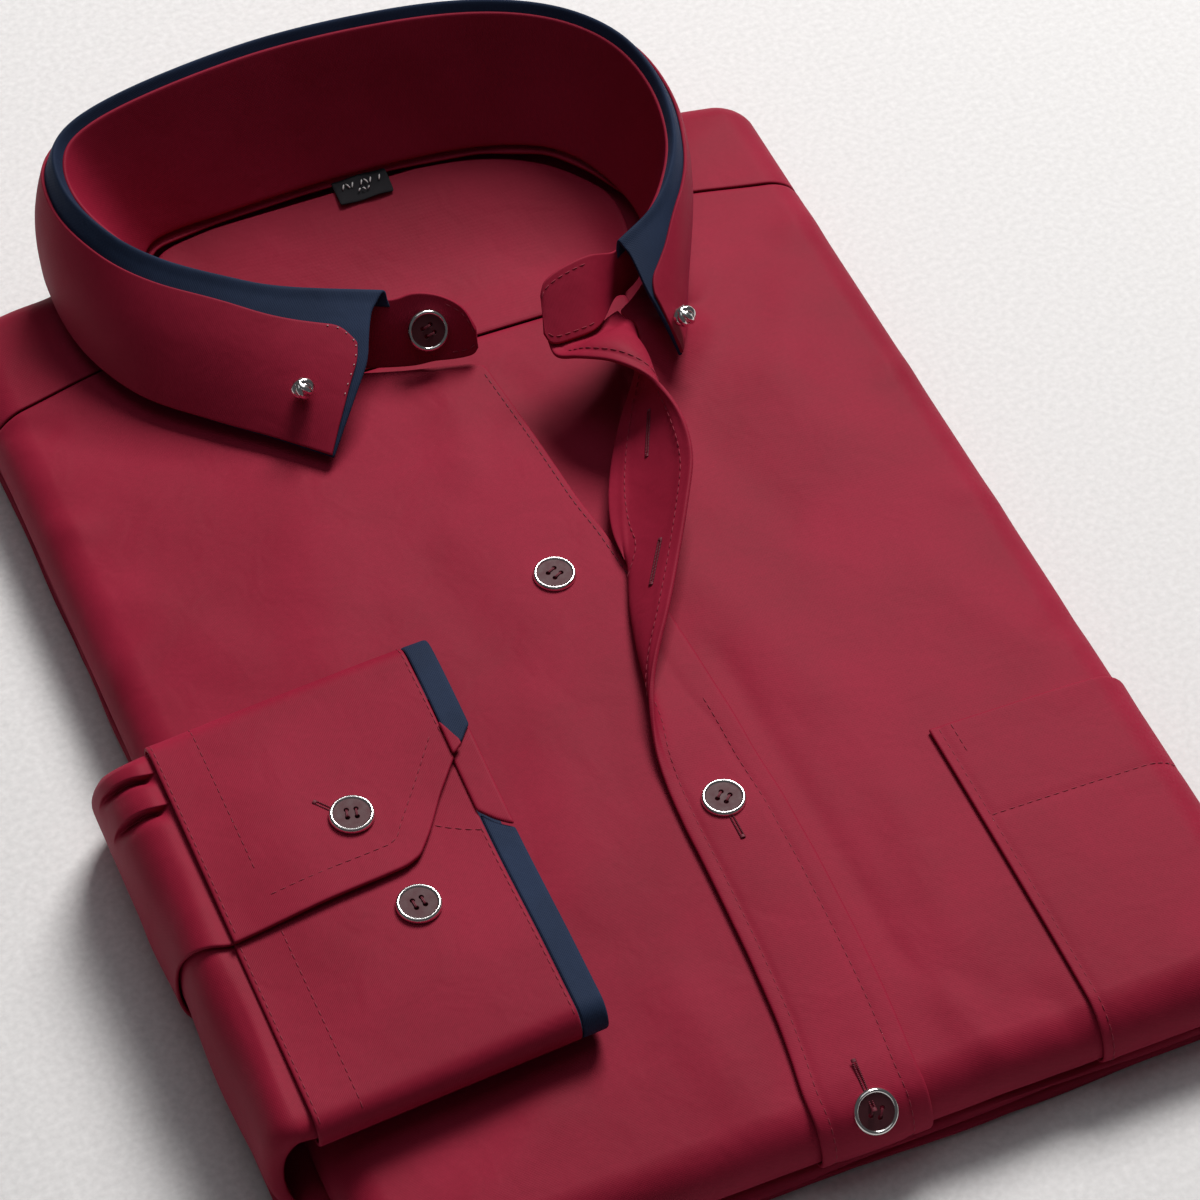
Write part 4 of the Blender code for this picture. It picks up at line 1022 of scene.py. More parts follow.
def collar_lines(station):
    """Seam, roll and hem points and the outward direction at a station of the collar."""
    row = catmull(COLLAR, station)
    ahead = catmull(COLLAR, min(station + 0.05, len(COLLAR) - 1))
    behind = catmull(COLLAR, max(station - 0.05, 0))
    roll, hem = row[3:6], row[6:9]
    seam = np.array((row[0], row[1], height_at(row[0], row[1], TOP_LIFT + GAP + 0.5) + row[2]))
    along = unit(ahead[3:6] - behind[3:6])
    outward = unit(np.cross(along, hem - roll))
    if np.dot(outward, roll - np.array((0.0, 140.0, roll[2]))) < 0:
        outward = -outward
    return seam, roll, hem, outward


def leaf_line(lines, lift, shares):
    """Outer face of the turned-down collar at one station, by shares from roll to hem, below 0 inside."""
    seam, roll, hem, outward = lines
    down = unit(seam - roll)
    controls = [(-0.24, roll + down * NAVY_BAND * 1.9 - outward * 0.4),
                (-0.12, roll + down * NAVY_BAND - outward * 0.6),
                (-0.03, roll + down * 0.7 - outward * 0.25),
                (0.012, roll + np.array((0, 0, 1.2)) + outward * 0.9)]
    for share in (0.06, 0.16, 0.3, 0.5, 0.7, 0.86, 1.0):
        reach = ROLL_REACH + 0.6 + LEAF_BULGE * math.sin(math.pi * share)
        controls.append((share, roll + (hem - roll) * share + outward * reach))
    keys = [key for key, _point in controls]
    points = np.array([point for _key, point in controls])
    made = []
    for share in shares:
        position = float(np.interp(share, keys, range(len(keys))))
        here = catmull(points, position)
        ahead = catmull(points, min(position + 0.1, len(points) - 1))
        behind = catmull(points, max(position - 0.1, 0))
        slope = unit(ahead - behind)
        normal = outward - slope * np.dot(outward, slope)
        if position < 3.2:
            normal = np.array((0, 0, 1.0)) - slope * slope[2] if position > 2.2 else -outward
        made.append(here + unit(normal) * lift)
    return made


def leaf_station(station, share, margin=0.0):
    """Station moved by the cut of the leaf's front edge, and by a margin in front of the wine leaf."""
    last = len(COLLAR) - 1
    from_end = min(station, last - station)
    cut = table_value(LEAF_EDGE, share) * (1 - smooth(from_end / 1.3))
    if margin:
        cut += (table_value(LEAF_MARGIN, share) - margin) * (1 - smooth((from_end - margin) / 1.0))
    return station + cut if station < last / 2 else station - cut


class SHIRT_OT_collar(ShirtOperator, bpy.types.Operator):
    """Build the collar's navy under leaf and the wine leaf sewn on it"""
    bl_idname = "shirt.collar"
    bl_label = "Collar leaf"

    def build(self, context):
        last = len(COLLAR) - 1
        stations = [0, 0.03, 0.08] + list(np.linspace(0.15, last - 0.15, 132))
        stations += [last - 0.08, last - 0.03, last]
        shares = [-0.12, -0.10, -0.065, -0.03, -0.01, 0.012, 0.035, 0.06, 0.09, 0.13, 0.18]
        shares += list(np.linspace(0.24, 0.96, 13)) + [0.985, 1.0]
        grid = np.array([self.line(k, shares, 0.0) for k in stations])
        leaf = sheet_object("cloth_collar_under", grid, navy_cloth(), wall=1.1, flip=True)
        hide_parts("collar_leaf")
        margin = 0.13
        inner = [margin, 0.15, 0.18, 0.22, 0.27, 0.33, 0.40, 0.48]
        inner += [k for k in stations if 0.55 < k < last - 0.55] + [last - k for k in inner[::-1]]
        rows = []
        for k in inner:
            from_end = min(k, last - k) - margin
            drop, length = (0.085, 2.4) if k < last / 2 else (0.25, 1.7)
            top = 0.160 + drop * (1 - smooth(from_end / length)) + 0.10 * (1 - min(from_end / 0.27, 1.0)) ** 2
            steps = [top, top + 0.012] + list(np.linspace(top + 0.05, 0.955, 15)) + [0.982, 0.993]
            rows.append(self.line(k, steps, 0.95, margin))
        over = np.array(rows)
        top_leaf = sheet_object("cloth_collar_top", over, wine_cloth(), wall=0.85, flip=True)
        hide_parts("collar_overlay")
        # Tiny pale dots along the top leaf's front corner and edge: painted highlight standing in for glints
        # on the edge.
        corner = sew("painted_glint_dots_collar", [parallel(over, "first_row", 0.7, 0.0, 0.5),
                                         parallel(over, "first_col", 0.7, 0.0, 0.05)],
                     bright_thread(), length=0.55, pitch=2.6, width=0.3, outward=-1.0)
        return leaf

    def line(self, station, shares, lift, margin=0.0):
        return [leaf_line(collar_lines(leaf_station(station, share, margin)), lift, [share])[0]
                for share in shares]


def stand_controls():
    """Rows of four control points up the stand, from the right tab round the neck to the left tab."""
    rows = []
    for row in TAB_RIGHT:
        bottom, top = np.array(row[:3]), np.array(row[3:])
        rows.append([bottom + (top - bottom) * share for share in (0, 0.33, 0.67, 1.0)])
    for k in np.linspace(0, len(COLLAR) - 1, 35):
        seam, roll, _hem, outward = collar_lines(k)
        top = roll + unit(seam - roll) * STAND_TOP * 0.35
        rows.append([seam + (top - seam) * share + outward * 0.8 * math.sin(math.pi * share)
                     for share in (0, 0.33, 0.67, 1.0)])
    for row in TAB_LEFT[::-1]:
        bottom, top = np.array(row[:3]), np.array(row[3:])
        rows.append([bottom + (top - bottom) * share for share in (0, 0.33, 0.67, 1.0)])
    return np.array(rows)


class SHIRT_OT_stand(ShirtOperator, bpy.types.Operator):
    """Build the collar's stand with its two front tabs"""
    bl_idname = "shirt.stand"
    bl_label = "Collar stand"

    def build(self, context):
        controls = stand_controls()
        rows = []
        shares = (0, 0.03, 0.08, 0.16, 0.28, 0.4, 0.52, 0.64, 0.76, 0.86, 0.93, 0.97, 1.0)
        ends = [0, 0.12, 0.3, 0.5]
        last = len(controls) - 1
        positions = ends + list(np.linspace(0.75, last - 0.75, 150)) + [last - end for end in ends[::-1]]
        for k in positions:
            line = [catmull(controls[:, column], k) for column in range(4)]
            rows.append([catmull(line, 3 * share) for share in shares])
        grid = np.array(rows)
        made = sheet_object("cloth_stand", grid, wine_cloth(), wall=1.1)
        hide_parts("collar_stand")
        bands = [self.tab_row(grid, 0.0, 0.055), self.tab_row(grid, 0.925, 1.0)]
        seams = sew("stitches_stand", [run for band in bands for run in band], wine_thread())
        return made

    def tab_row(self, grid, start, end):
        """Stitch rows near the top and bottom edges of the stand over a share of its length."""
        return [parallel(grid, "last_col", 1.9, start, end), parallel(grid, "first_col", 1.9, start, end)]


# ---- sleeve ----
def slit_y(station):
    """Place of the slit's edge at a station round the sleeve."""
    return -55.4 + 4.5 * smooth((station - 1.0) / 4.0)


def pleat_line(row, station):
    return row[0] + (row[1] - row[0]) * smooth((station - 0.6) / 4.4)


def pleat_offset(row, station, y):
    """Outward move of the cloth at a pleat, and how far its lip hangs over the tuck."""
    strength = smooth((station - 0.7) / 1.2) * (1 - smooth((station - 3.4) / 1.6))
    above = y - pleat_line(row, station)
    if above < 0:
        return -row[3] * strength * (1 - smooth(-above / 4.2)), 0.0
    return row[2] * strength * (1 - smooth(above / 7.0)), -1.5 * strength * (1 - smooth(above / 2.4))


def sleeve_point(station, y, lift):
    """Outer face of the sleeve at a station round it and a place along it."""
    x, z, top, bottom = catmull(SLEEVE, station)
    ahead = catmull(SLEEVE, min(station + 0.05, len(SLEEVE) - 1))
    behind = catmull(SLEEVE, max(station - 0.05, 0))
    run = unit(np.array((ahead[0] - behind[0], ahead[1] - behind[1])))
    out = np.array((run[1], -run[0]))
    edge = min(y - bottom, top - y)
    reach = lift - 4.0 * (1 - math.sqrt(max(0.0, 1 - (1 - min(max(edge, 0) / 5.0, 1.0)) ** 2)))
    slide = 0.0
    for row in PLEATS:
        lifted, hung = pleat_offset(row, station, y)
        reach += lifted
        slide += hung
    reach += 0.45 * math.sin(0.13 * y + 0.8 * station) * smooth((station - 1) / 1.5) * smooth((-y - 24) / 12)
    return np.array((x + out[0] * reach, y + slide, max(z + out[1] * reach, 1.2)))


class SHIRT_OT_sleeve(ShirtOperator, bpy.types.Operator):
    """Build the sleeve round the side, with two pleats, the slit and the plies inside"""
    bl_idname = "shirt.sleeve"
    bl_label = "Sleeve"

    def build(self, context):
        last = len(SLEEVE) - 1
        stations = [0, 0.5, 0.9, 1.1] + list(np.linspace(1.3, last - 0.2, 32)) + [last]
        upper, lower, inside = [], [], []
        for k in stations:
            _x, _z, top, bottom = catmull(SLEEVE, k)
            first, second = pleat_line(PLEATS[0], k), pleat_line(PLEATS[1], k)
            end = slit_y(k)
            places = [top, top - 0.7, top - 1.6] + self.stretch(top - 2.8, first + 2.2, 7)
            places += [first + step for step in (1.5, 0.9, 0.4, 0.05, -0.15, -0.7, -1.5)]
            places += self.stretch(first - 2.4, second + 2.2, 6)
            places += [second + step for step in (1.5, 0.9, 0.4, 0.05, -0.15, -0.7, -1.5)]
            places += self.stretch(second - 2.4, end + 1.6, 16) + [end + 0.7, end]
            upper.append([sleeve_point(k, y, 0.0) for y in places])
            low_places = self.stretch(end + 7.0, bottom + 5.5, 28)
            low_places += [bottom + step for step in (3.6, 2, 0.9, 0)]
            lower.append([sleeve_point(k, y, -1.5) for y in low_places])
            inside.append([sleeve_point(k, y, -3.6) for y in self.stretch(top - 6.0, bottom + 3.0, 34)])
        up = sheet_object("cloth_sleeve_upper", np.array(upper), wine_cloth(), flip=True)
        down = sheet_object("cloth_sleeve_lower", np.array(lower), wine_cloth(), flip=True)
        within = sheet_object("cloth_sleeve_inside", np.array(inside), wine_cloth(), flip=True)
        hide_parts("sleeve_upper")
        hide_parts("sleeve_lower")
        under = sheet_object("cloth_sleeve_tuck", self.tuck_grid(), wine_cloth(), flip=True)
        return up

    def stretch(self, start, end, count):
        return list(np.linspace(start, end, count))

    def tuck_grid(self):
        """The ply that is folded back under the sleeve's end, against the body's side."""
        rows = []
        for y in np.linspace(-76, -131, 26):
            narrow = smooth((-y - 104) / 26)
            row = []
            for share in np.linspace(0, 1, 18):
                x = -122.5 + 6.5 * narrow + share * (16.5 - 6.5 * narrow)
                arch = math.sin(math.pi * (0.10 + 0.62 * share))
                row.append((x, y, 2.2 + 9.0 * (1 - narrow * 0.55) * arch))
            rows.append(row)
        return np.array(rows)


# ---- cuff ----
def cuff_path(y_start, y_end, arc_steps=12):
    """Middle line of the cuff's wall, from its under end round both folds to the end of the lap."""
    low_radius = (CUFF_UNDER_Z - CUFF_LOW_Z) / 2
    high_radius = (CUFF_LAP_Z - CUFF_LOW_Z) / 2
    low_centre = CUFF_BOTTOM_Y + WALL / 2 + low_radius
    high_centre = CUFF_TOP_Y - WALL / 2 - high_radius
    start = [y_start, y_start - 0.7] + list(np.linspace(y_start - 3, low_centre, 30))
    path = [(y, CUFF_UNDER_Z) for y in start]
    for step in range(1, arc_steps + 1):
        angle = math.pi * step / arc_steps
        path.append((low_centre - low_radius * math.sin(angle),
                     CUFF_UNDER_Z - low_radius * (1 - math.cos(angle))))
    path += [(y, CUFF_LOW_Z) for y in np.linspace(low_centre, high_centre, 16)[1:]]
    for step in range(1, arc_steps + 1):
        angle = math.pi * step / arc_steps
        path.append((high_centre + high_radius * math.sin(angle),
                     CUFF_LOW_Z + high_radius * (1 - math.cos(angle))))
    end = list(np.linspace(high_centre, y_end + 2.5, 30)[1:]) + [y_end + 0.7, y_end]
    path += [(y, CUFF_LAP_Z) for y in end]
    return path


def cuff_rise(x, y, z):
    """Swell of the cuff's outer plies between the folds, with a slight unevenness."""
    along = (x - CUFF_SEAM_X) / (CUFF_EDGE_X - CUFF_SEAM_X)
    share = (z - CUFF_LOW_Z) / (CUFF_LAP_Z - CUFF_LOW_Z)
    uneven = 0.35 * math.sin(0.09 * x + 0.06 * y) * smooth(share * 2 - 1)
    return CUFF_RISE * share * smooth(along / 0.4) * smooth((y - CUFF_BOTTOM_Y) / 30) + uneven


def cuff_shape(x, y, z):
    """Flare of the cuff's upper end towards its edge, with the swell of its outer plies."""
    along = (x - CUFF_SEAM_X) / (CUFF_EDGE_X - CUFF_SEAM_X)
    upper = smooth((y + 60) / 62)
    lower = 1 - smooth((y + 106) / 56)
    shift = CUFF_FLARE * along * upper + CUFF_LOW_FLARE * along * lower
    return np.array((x + CUFF_SKEW * smooth(along) * upper, y + shift, z + cuff_rise(x, y, z)))


def cuff_grid(columns, starts, ends):
    """Outer face of the cuff: a row for each place across it, from its under end to the end of its lap."""
    rows = []
    for x, y_start, y_end in zip(columns, starts, ends):
        rows.append([cuff_shape(x, y, z) for y, z in cuff_path(y_start, y_end)])
    grid = np.array(rows)
    return grid + grid_normals(grid) * (WALL / 2)


def on_cuff(places, base):
    """A run of places on the cuff's outer face, as points and normals."""
    points = [(x, y, base + WALL / 2 + cuff_rise(x, y, base)) for x, y in places]
    return np.array(points), np.tile((0.0, 0.0, 1.0), (len(points), 1))


class SHIRT_OT_cuff(ShirtOperator, bpy.types.Operator):
    """Build the barrel cuff with its cut-cornered lap, the navy trim and the stitching"""
    bl_idname = "shirt.cuff"
    bl_label = "Cuff"

    def build(self, context):
        columns = [CUFF_SEAM_X, CUFF_SEAM_X + 0.7] + list(np.arange(CUFF_SEAM_X + 2.5, -70.5, 2.2))
        columns += list(np.linspace(-70.0, CUFF_EDGE_X - 1.4, 15)) + [CUFF_EDGE_X - 0.6, CUFF_EDGE_X]
        grid = cuff_grid(columns, [CUFF_UNDER_START_Y] * len(columns),
                         [table_value(LAP_END, x) for x in columns])
        cuff = sheet_object("cloth_cuff", grid, wine_cloth(), wall=STIFF_WALL)
        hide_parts("cuff")
        trim_x = [-49.1, -48.3, -47.5, -46.7, -45.8, -44.9, -43.9, TRIM_EDGE_X]
        trim_grid = cuff_grid(trim_x, [table_value(TRIM_ENDS, x) for x in trim_x],
                              [table_value(TRIM_ENDS, x, 2) for x in trim_x])
        trim = sheet_object("cloth_cuff_trim", trim_grid, navy_cloth(), wall=STIFF_WALL)
        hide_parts("cuff_trim")
        tongue_x = [CUFF_EDGE_X - 0.3, -48.6, -47.4, -46.0, -44.6, -43.8, TRIM_EDGE_X]
        tongue_grid = [[cuff_shape(x, y, CUFF_UNDER_Z) + np.array((0, 0, WALL / 2 - 0.12))
                        for y in np.linspace(-12.0, table_value(TRIM_ENDS, x) + 0.15, 22)] for x in tongue_x]
        tongue = sheet_object("cloth_cuff_under_edge", np.array(tongue_grid), wine_cloth(), wall=1.0,
                              flip=True)
        corner_x = [CUFF_EDGE_X - 0.25, -48.6, -47.9, -47.2, -46.6]
        corner_grid = []
        for x in corner_x:
            start, end = table_value(TRIM_ENDS, x, 2), np.interp(x, (CUFF_EDGE_X, -46.6), (-29.6, -27.6))
            corner_grid.append([cuff_shape(x, start + 0.5 + (end - start - 0.5) * share, CUFF_LAP_Z)
                                + np.array((0, 0, WALL / 2 + 0.10)) for share in np.linspace(0, 1, 8)])
        corner = sheet_object("cloth_cuff_corner", np.array(corner_grid), wine_cloth(), flip=True)
        top, bottom = parallel(grid, "first_row", 1.1, 0.0, 1.0), parallel(grid, "first_row", 11.0, 0.0, 1.0)
        runs = [self.part(top, 0.66, 1.0), self.part(top, 0.0, 0.34), self.part(bottom, 0.66, 0.93),
                self.part(bottom, 0.14, 0.34),
                on_cuff(LAP_STITCHES, CUFF_LAP_Z),
                on_cuff(((-60.3, -42.3), (-57.5, -44.4), (-53.0, -47.0), (-48.8, -48.8)), CUFF_UNDER_Z),
                self.part(parallel(grid, "last_row", 0.9), 0.12, 0.33),
                self.part(parallel(grid, "last_row", 0.9), 0.66, 0.95)]
        seams = sew("stitches_cuff", runs, wine_thread(), outward=1.0)
        edge_run = [on_cuff(((-48.2, -26.0), (-48.0, -34.0), (-47.7, -43.5)), CUFF_UNDER_Z + 0.05)]
        edge_seams = sew("stitches_cuff_edge", edge_run, wine_thread())
        hole_seat = cuff_shape(-81.2, -30.6, CUFF_LAP_Z) + np.array((0, 0, WALL / 2))
        hole = buttonhole("buttonhole_cuff", hole_seat, (-0.62, 0.78, 0), (0, 0, 1), 4.4, 1.3)
        return cuff

    def part(self, run, start, end):
        """The stretch of a run between two shares of its length."""
        points, normals = run
        first, last = int(start * (len(points) - 1)), int(end * (len(points) - 1))
        return points[first:last + 1], normals[first:last + 1]


# ---- pocket ----
class SHIRT_OT_pocket(ShirtOperator, bpy.types.Operator):
    """Build the chest pocket that runs round the bottom fold and the side, with its hem"""
    bl_idname = "shirt.pocket"
    bl_label = "Pocket"

    def build(self, context):
        side = [FLAT_X + step for step in round_fold(reach=WRAP - 2)]
        across = spaced(POCKET_EDGE_X, FLAT_X, 2.4, marks=(POCKET_EDGE_X + 2.4,)) + side
        hem_y = POCKET_TOP_Y - 28.0
        places = round_bottom(reach=WRAP - 2) + spaced(FLAT_FRONT, POCKET_TOP_Y, 2.6, marks=(hem_y,))
        grid = body_grid([[(s, t) for s in across] for t in places], SECOND_LIFT - 0.3)
        for i, t in enumerate(places):
            for j, s in enumerate(across):
                inward = s - POCKET_EDGE_X
                press = math.exp(-(((inward - 2.4) / 0.8) ** 2))
                press += 1.1 * math.exp(-(((t - hem_y) / 0.9) ** 2)) * smooth((inward - 1) / 4)
                grid[i, j, 2] -= 0.28 * min(press, 1.2)
                grid[i, j, 2] += 0.4 * smooth((t - POCKET_TOP_Y + 9) / 9) * smooth((inward - 6) / 30)
        made = sheet_object("cloth_pocket", grid, wine_cloth())
        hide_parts("pocket")
        runs = [parallel(grid, "first_col", 2.4, 0.0, 0.99), parallel(grid, "last_row", 28.0, 0.07, 0.8),
                parallel(grid, "first_col", 5.6, 0.90, 0.99)]
        seams = sew("stitches_pocket", runs, wine_thread())
        return made


# ---- label ----
class SHIRT_OT_label(ShirtOperator, bpy.types.Operator):
    """Build the woven neck label with plain marks"""
    bl_idname = "shirt.label"
    bl_label = "Label"

    def build(self, context):
        x_low, x_high = low("label")[0], high("label")[0]
        y_low, y_high = low("label")[1], high("label")[1] + 2.4
        look = simple_material("label_black", (0.014, 0.014, 0.016), 0.5, bump_scale=2500.0,
                               bump_height=0.0001, sheen=0.3)
        rows = []
        for y in np.linspace(y_low, y_high, 8):
            rows.append([self.over_back(x, y, 0.9) + np.array((0, 0, 0.25 * math.sin((x - y) * 0.6)))
                         for x in np.linspace(x_low, x_high, 12)])
        grid = np.array(rows)
        made = sheet_object("woven_label", grid, look, wall=0.5)
        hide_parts("label")
        white = simple_material("label_marks", (0.75, 0.75, 0.75), 0.6)
        verts, faces = [], []
        for row_y, count, tall in ((y_high - 3.0, 9, 1.5), (y_high - 5.0, 3, 0.7)):
            for k in range(count):
                if k % 4 == 3:
                    continue
                x = (x_low + x_high) / 2 + (k - (count - 1) / 2) * 1.25
                lean = 0.35 * (-1) ** k
                a = self.over_back(x, row_y - tall / 2, 1.3) - np.array((lean, 0, 0))
                b = self.over_back(x, row_y + tall / 2, 1.3) + np.array((lean, 0, 0))
                add_bead(verts, faces, a, b, np.array((0, 0, 1.0)), 0.22)
        marks = new_object("label_marks", verts, faces, white)
        return made

    def over_back(self, x, y, lift):
        """Point over the inner yoke at a place seen from above."""
        return np.array((x, y, height_at(x, y, TOP_LIFT + lift, inner=True)))


# ---- buttons and studs ----
DISC_DEPTH = 1.3
HOLE_RADIUS = 0.56
HOLE_REACH = 1.56                            # from a button's middle to the middle of a hole
RIM_RADIUS = 0.64                            # half the rim's width
RIM_STRETCH = 1.55                           # height of the rim over its width
RIM_SEAT = 1.25                              # middle of the rim over the button's foot
STUD_RING = 1.55                             # radius of a turn of the knot
STUD_WIRE = 0.62
STUD_CORE = 1.45


def select_faces(mesh_object, test):
    """In edit mode, selects the faces that pass the test on centre and normal."""
    bpy.ops.mesh.select_all(action="DESELECT")
    edit = bmesh.from_edit_mesh(mesh_object.data)
    for face in edit.faces:
        face.select_set(bool(test(face.calc_center_median(), face.normal)))
    bmesh.update_edit_mesh(mesh_object.data)


def button_disc(radius):
    """One four-hole button with a dished face, made at the origin."""
    bpy.ops.mesh.primitive_cylinder_add(vertices=56, radius=radius * MM, depth=DISC_DEPTH * MM,
                                        location=(0, 0, 1.1 * MM))
    disc = bpy.context.active_object
    bpy.ops.object.mode_set(mode="EDIT")
    for inset, drop in ((0.30, 0.0), (0.35, -0.50)):
        select_faces(disc, lambda middle, normal: normal.z > 0.9 and middle.xy.length < 0.0002)
        bpy.ops.mesh.inset(thickness=inset * MM)
        bpy.ops.transform.translate(value=(0, 0, drop * MM))
    bpy.ops.object.mode_set(mode="OBJECT")
    cutters = []
    for k in range(4):
        angle = math.pi / 4 + math.pi / 2 * k
        place = (HOLE_REACH * math.cos(angle) * MM, HOLE_REACH * math.sin(angle) * MM, 0)
        bpy.ops.mesh.primitive_cylinder_add(vertices=18, radius=HOLE_RADIUS * MM, depth=8 * MM, location=place)
        cutters.append(bpy.context.active_object)
    for cutter in cutters:
        cut = disc.modifiers.new("hole", "BOOLEAN")
        cut.object = cutter
    bevel = disc.modifiers.new("edge", "BEVEL")
    bevel.width = 0.1 * MM
    bevel.segments = 2
    bevel.limit_method = "ANGLE"
    bpy.ops.object.select_all(action="DESELECT")
    disc.select_set(True)
    bpy.context.view_layer.objects.active = disc
    for modifier in list(disc.modifiers):
        bpy.ops.object.modifier_apply(modifier=modifier.name)
    for cutter in cutters:
        bpy.data.objects.remove(cutter, do_unlink=True)
    bpy.ops.object.shade_smooth_by_angle(angle=math.radians(12))
    disc.data.materials.clear()
    disc.data.materials.append(wine_resin())
    return disc


def button_rim(radius):
    """The polished ring round a button, made at the origin."""
    bpy.ops.object.select_all(action="DESELECT")
    bpy.ops.mesh.primitive_torus_add(major_radius=(radius - RIM_RADIUS) * MM, minor_radius=RIM_RADIUS * MM,
                                     major_segments=64, minor_segments=16, location=(0, 0, RIM_SEAT * MM))
    rim = bpy.context.active_object
    bpy.ops.object.mode_set(mode="EDIT")
    bpy.ops.mesh.select_all(action="SELECT")
    bpy.ops.transform.resize(value=(1, 1, RIM_STRETCH), center_override=(0, 0, RIM_SEAT * MM))
    bpy.ops.object.mode_set(mode="OBJECT")
    bpy.ops.object.shade_smooth()
    rim.data.materials.clear()
    rim.data.materials.append(polished_steel())
    return rim


def thread_bars(name):
    """Two bars of thread through a button's holes, made at the origin."""
    verts, faces = [], []
    for side in (-1, 1):
        for shift in (-0.13, 0.13):
            a = np.array((-1.1, side * 1.1 + shift, 0.80))
            b = np.array((1.1, side * 1.1 + shift, 0.80))
            add_bead(verts, faces, a, b, np.array((0, 0, 1.0)), 0.15)
    return new_object(name, verts, faces, dark_thread())


def place_mesh(piece, matrix):
    """Puts a piece made at the origin in its place, in its mesh."""
    piece.data.transform(matrix)
    piece.matrix_world = Matrix.Identity(4)


class SHIRT_OT_buttons(ShirtOperator, bpy.types.Operator):
    """Build the six rimmed buttons with their thread"""
    bl_idname = "shirt.buttons"
    bl_label = "Buttons"

    def build(self, context):
        radius = (high("rim_front_one")[0] - low("rim_front_one")[0]) / 2
        disc, rim = button_disc(radius - 1.0), button_rim(radius)
        made = []
        for name, lean, side in BUTTONS:
            turn = Matrix.Rotation(math.radians(-side), 4, "Y") @ Matrix.Rotation(math.radians(lean), 4, "X")
            seat = Vector(centre("rim_" + name)) * MM - turn @ Vector((0, 0, 1.35 * MM))
            spin = Matrix.Rotation(math.radians(17 * len(made) + 9), 4, "Z")
            place = Matrix.Translation(seat) @ turn @ spin
            for source, kind, slot in ((disc, "button_", "wine_button"), (rim, "rim_", "polished_rim")):
                piece = source.copy()
                piece.data = source.data.copy()
                piece.name = "shown_" + kind + name
                context.scene.collection.objects.link(piece)
                place_mesh(piece, place)
                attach(piece, "root")
                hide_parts(kind + name)
            thread = thread_bars("thread_" + name)
            place_mesh(thread, place)
            made.append(thread)
        for source in (disc, rim):
            bpy.data.objects.remove(source, do_unlink=True)
        return made


class SHIRT_OT_studs(ShirtOperator, bpy.types.Operator):
    """Build the two knotted metal studs of the collar points"""
    bl_idname = "shirt.studs"
    bl_label = "Studs"

    def build(self, context):
        made = []
        for node in ("stud_right", "stud_left"):
            parts = []
            for k in range(3):
                bpy.ops.object.select_all(action="DESELECT")
                turn = (math.radians(68), 0, math.radians(60 * k))
                bpy.ops.mesh.primitive_torus_add(major_radius=STUD_RING * MM, minor_radius=STUD_WIRE * MM,
                                                 major_segments=40, minor_segments=12, rotation=turn)
                parts.append(bpy.context.active_object)
            bpy.ops.mesh.primitive_uv_sphere_add(segments=24, ring_count=14, radius=STUD_CORE * MM)
            parts.append(bpy.context.active_object)
            bpy.ops.object.select_all(action="DESELECT")
            for part in parts:
                part.select_set(True)
            bpy.context.view_layer.objects.active = parts[0]
            bpy.ops.object.join()
            stud = bpy.context.active_object
            bpy.ops.object.transform_apply(location=True, rotation=True, scale=True)
            stud.name = "shown_" + node
            bpy.ops.object.shade_smooth()
            stud.data.materials.clear()
            stud.data.materials.append(polished_steel())
            middle = Vector(centre(node)) * MM
            place_mesh(stud, Matrix.Translation(middle) @ Matrix.Diagonal((1.42, 1.42, 1.2, 1.0)))
            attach(stud, "root")
            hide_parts(node)
            made.append(stud)
        return made


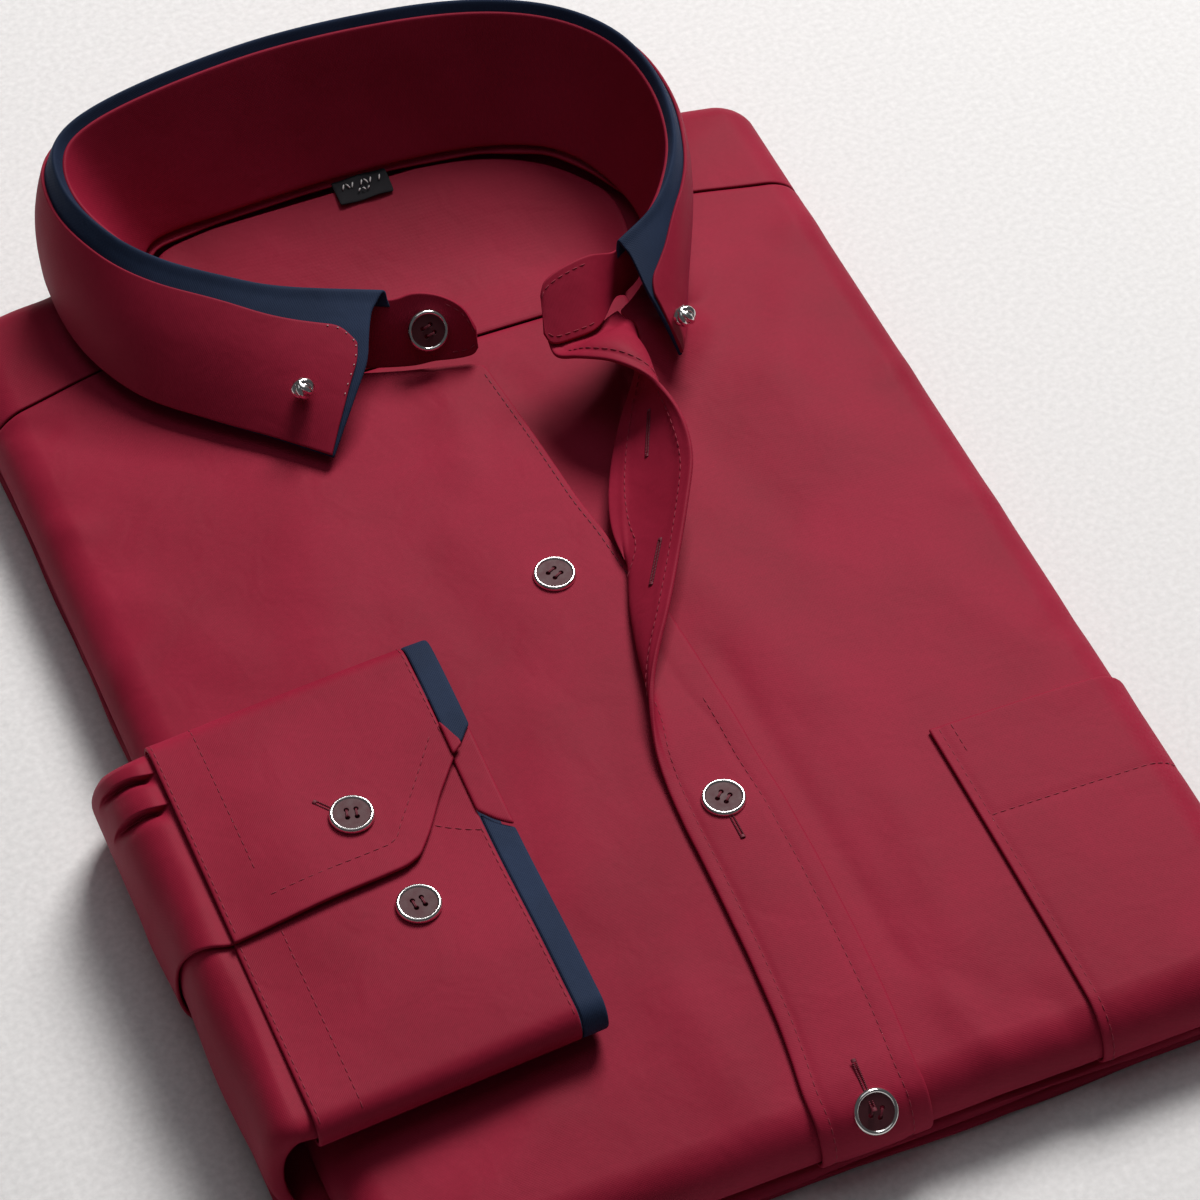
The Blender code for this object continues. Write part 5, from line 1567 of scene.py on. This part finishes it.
# ---- stage ----
class SHIRT_OT_stage(ShirtOperator, bpy.types.Operator):
    """Set the floor, the lights and the camera"""
    bl_idname = "shirt.stage"
    bl_label = "Stage"

    def build(self, context):
        stage = context.scene.shirt_stage
        bpy.ops.mesh.primitive_plane_add(size=6.0, location=(0, 0, -0.0002))
        floor = bpy.context.active_object
        floor.name = "floor"
        floor.data.materials.append(simple_material("floor_white", (0.83, 0.83, 0.83), 0.7))
        world = bpy.data.worlds.new("studio")
        world.use_nodes = True
        world.node_tree.nodes["Background"].inputs["Color"].default_value = (0.93, 0.95, 1.0, 1.0)
        world.node_tree.nodes["Background"].inputs["Strength"].default_value = 0.07
        context.scene.world = world
        self.lamp("key", (1.1, 1.35, 1.9), 1.0, stage.key_power, (1.0, 0.97, 0.95))
        self.lamp("overhead", (0.0, 0.3, 2.2), 1.4, stage.fill_power, (0.97, 0.98, 1.0))
        forward = Vector((-math.sin(stage.camera_azimuth) * math.cos(stage.camera_elevation),
                          math.cos(stage.camera_azimuth) * math.cos(stage.camera_elevation),
                          -math.sin(stage.camera_elevation)))
        camera = bpy.data.objects.new("camera", bpy.data.cameras.new("camera"))
        context.scene.collection.objects.link(camera)
        camera.data.sensor_width = 36.0
        camera.data.lens = 126.0
        camera.location = Vector(stage.camera_target) - forward * stage.camera_distance
        camera.rotation_euler = forward.to_track_quat("-Z", "Y").to_euler()
        context.scene.camera = camera
        context.scene.view_settings.view_transform = "Standard"
        return floor

    def lamp(self, name, place, size, power, colour):
        """A square soft light that points at the shirt."""
        light = bpy.data.lights.new(name, "AREA")
        light.shape = "SQUARE"
        light.size = size
        light.energy = power
        light.color = colour
        made = bpy.data.objects.new(name, light)
        made.location = place
        made.rotation_euler = (Vector((0.0, 0.02, 0.02)) - Vector(place)).to_track_quat("-Z", "Y").to_euler()
        bpy.context.scene.collection.objects.link(made)
        return made


STEPS = (SHIRT_OT_stage, SHIRT_OT_hidden_layers, SHIRT_OT_right_front, SHIRT_OT_left_front, SHIRT_OT_placket,
         SHIRT_OT_yoke, SHIRT_OT_stand, SHIRT_OT_collar, SHIRT_OT_sleeve, SHIRT_OT_cuff, SHIRT_OT_pocket,
         SHIRT_OT_label, SHIRT_OT_buttons, SHIRT_OT_studs)


class SHIRT_PT_build(bpy.types.Panel):
    """Lists the building steps and their settings."""
    bl_label = "Folded Shirt"
    bl_idname = "SHIRT_PT_build"
    bl_space_type = "VIEW_3D"
    bl_region_type = "UI"
    bl_category = "Shirt"

    def draw(self, context):
        for group in (context.scene.shirt_cloth, context.scene.shirt_stitches, context.scene.shirt_stage):
            box = self.layout.box()
            for name in group.bl_rna.properties.keys():
                if name not in {"rna_type", "name"}:
                    box.prop(group, name)
        for step in STEPS:
            self.layout.operator(step.bl_idname)


GROUPS = (("shirt_cloth", ShirtCloth), ("shirt_stitches", ShirtStitches), ("shirt_stage", ShirtStage))


def register():
    for name, group in GROUPS:
        bpy.utils.register_class(group)
        setattr(bpy.types.Scene, name, bpy.props.PointerProperty(type=group))
    for step in (*STEPS, SHIRT_PT_build):
        bpy.utils.register_class(step)


def unregister():
    for step in (*STEPS, SHIRT_PT_build):
        bpy.utils.unregister_class(step)
    for name, group in GROUPS:
        delattr(bpy.types.Scene, name)
        bpy.utils.unregister_class(group)


def main():
    register()
    bpy.ops.shirt.stage()
    bpy.ops.shirt.hidden_layers()
    bpy.ops.shirt.right_front()
    bpy.ops.shirt.left_front()
    bpy.ops.shirt.placket()
    bpy.ops.shirt.yoke()
    bpy.ops.shirt.stand()
    bpy.ops.shirt.collar()
    bpy.ops.shirt.sleeve()
    bpy.ops.shirt.cuff()
    bpy.ops.shirt.pocket()
    bpy.ops.shirt.label()
    bpy.ops.shirt.buttons()
    bpy.ops.shirt.studs()


if __name__ == "__main__":
    main()
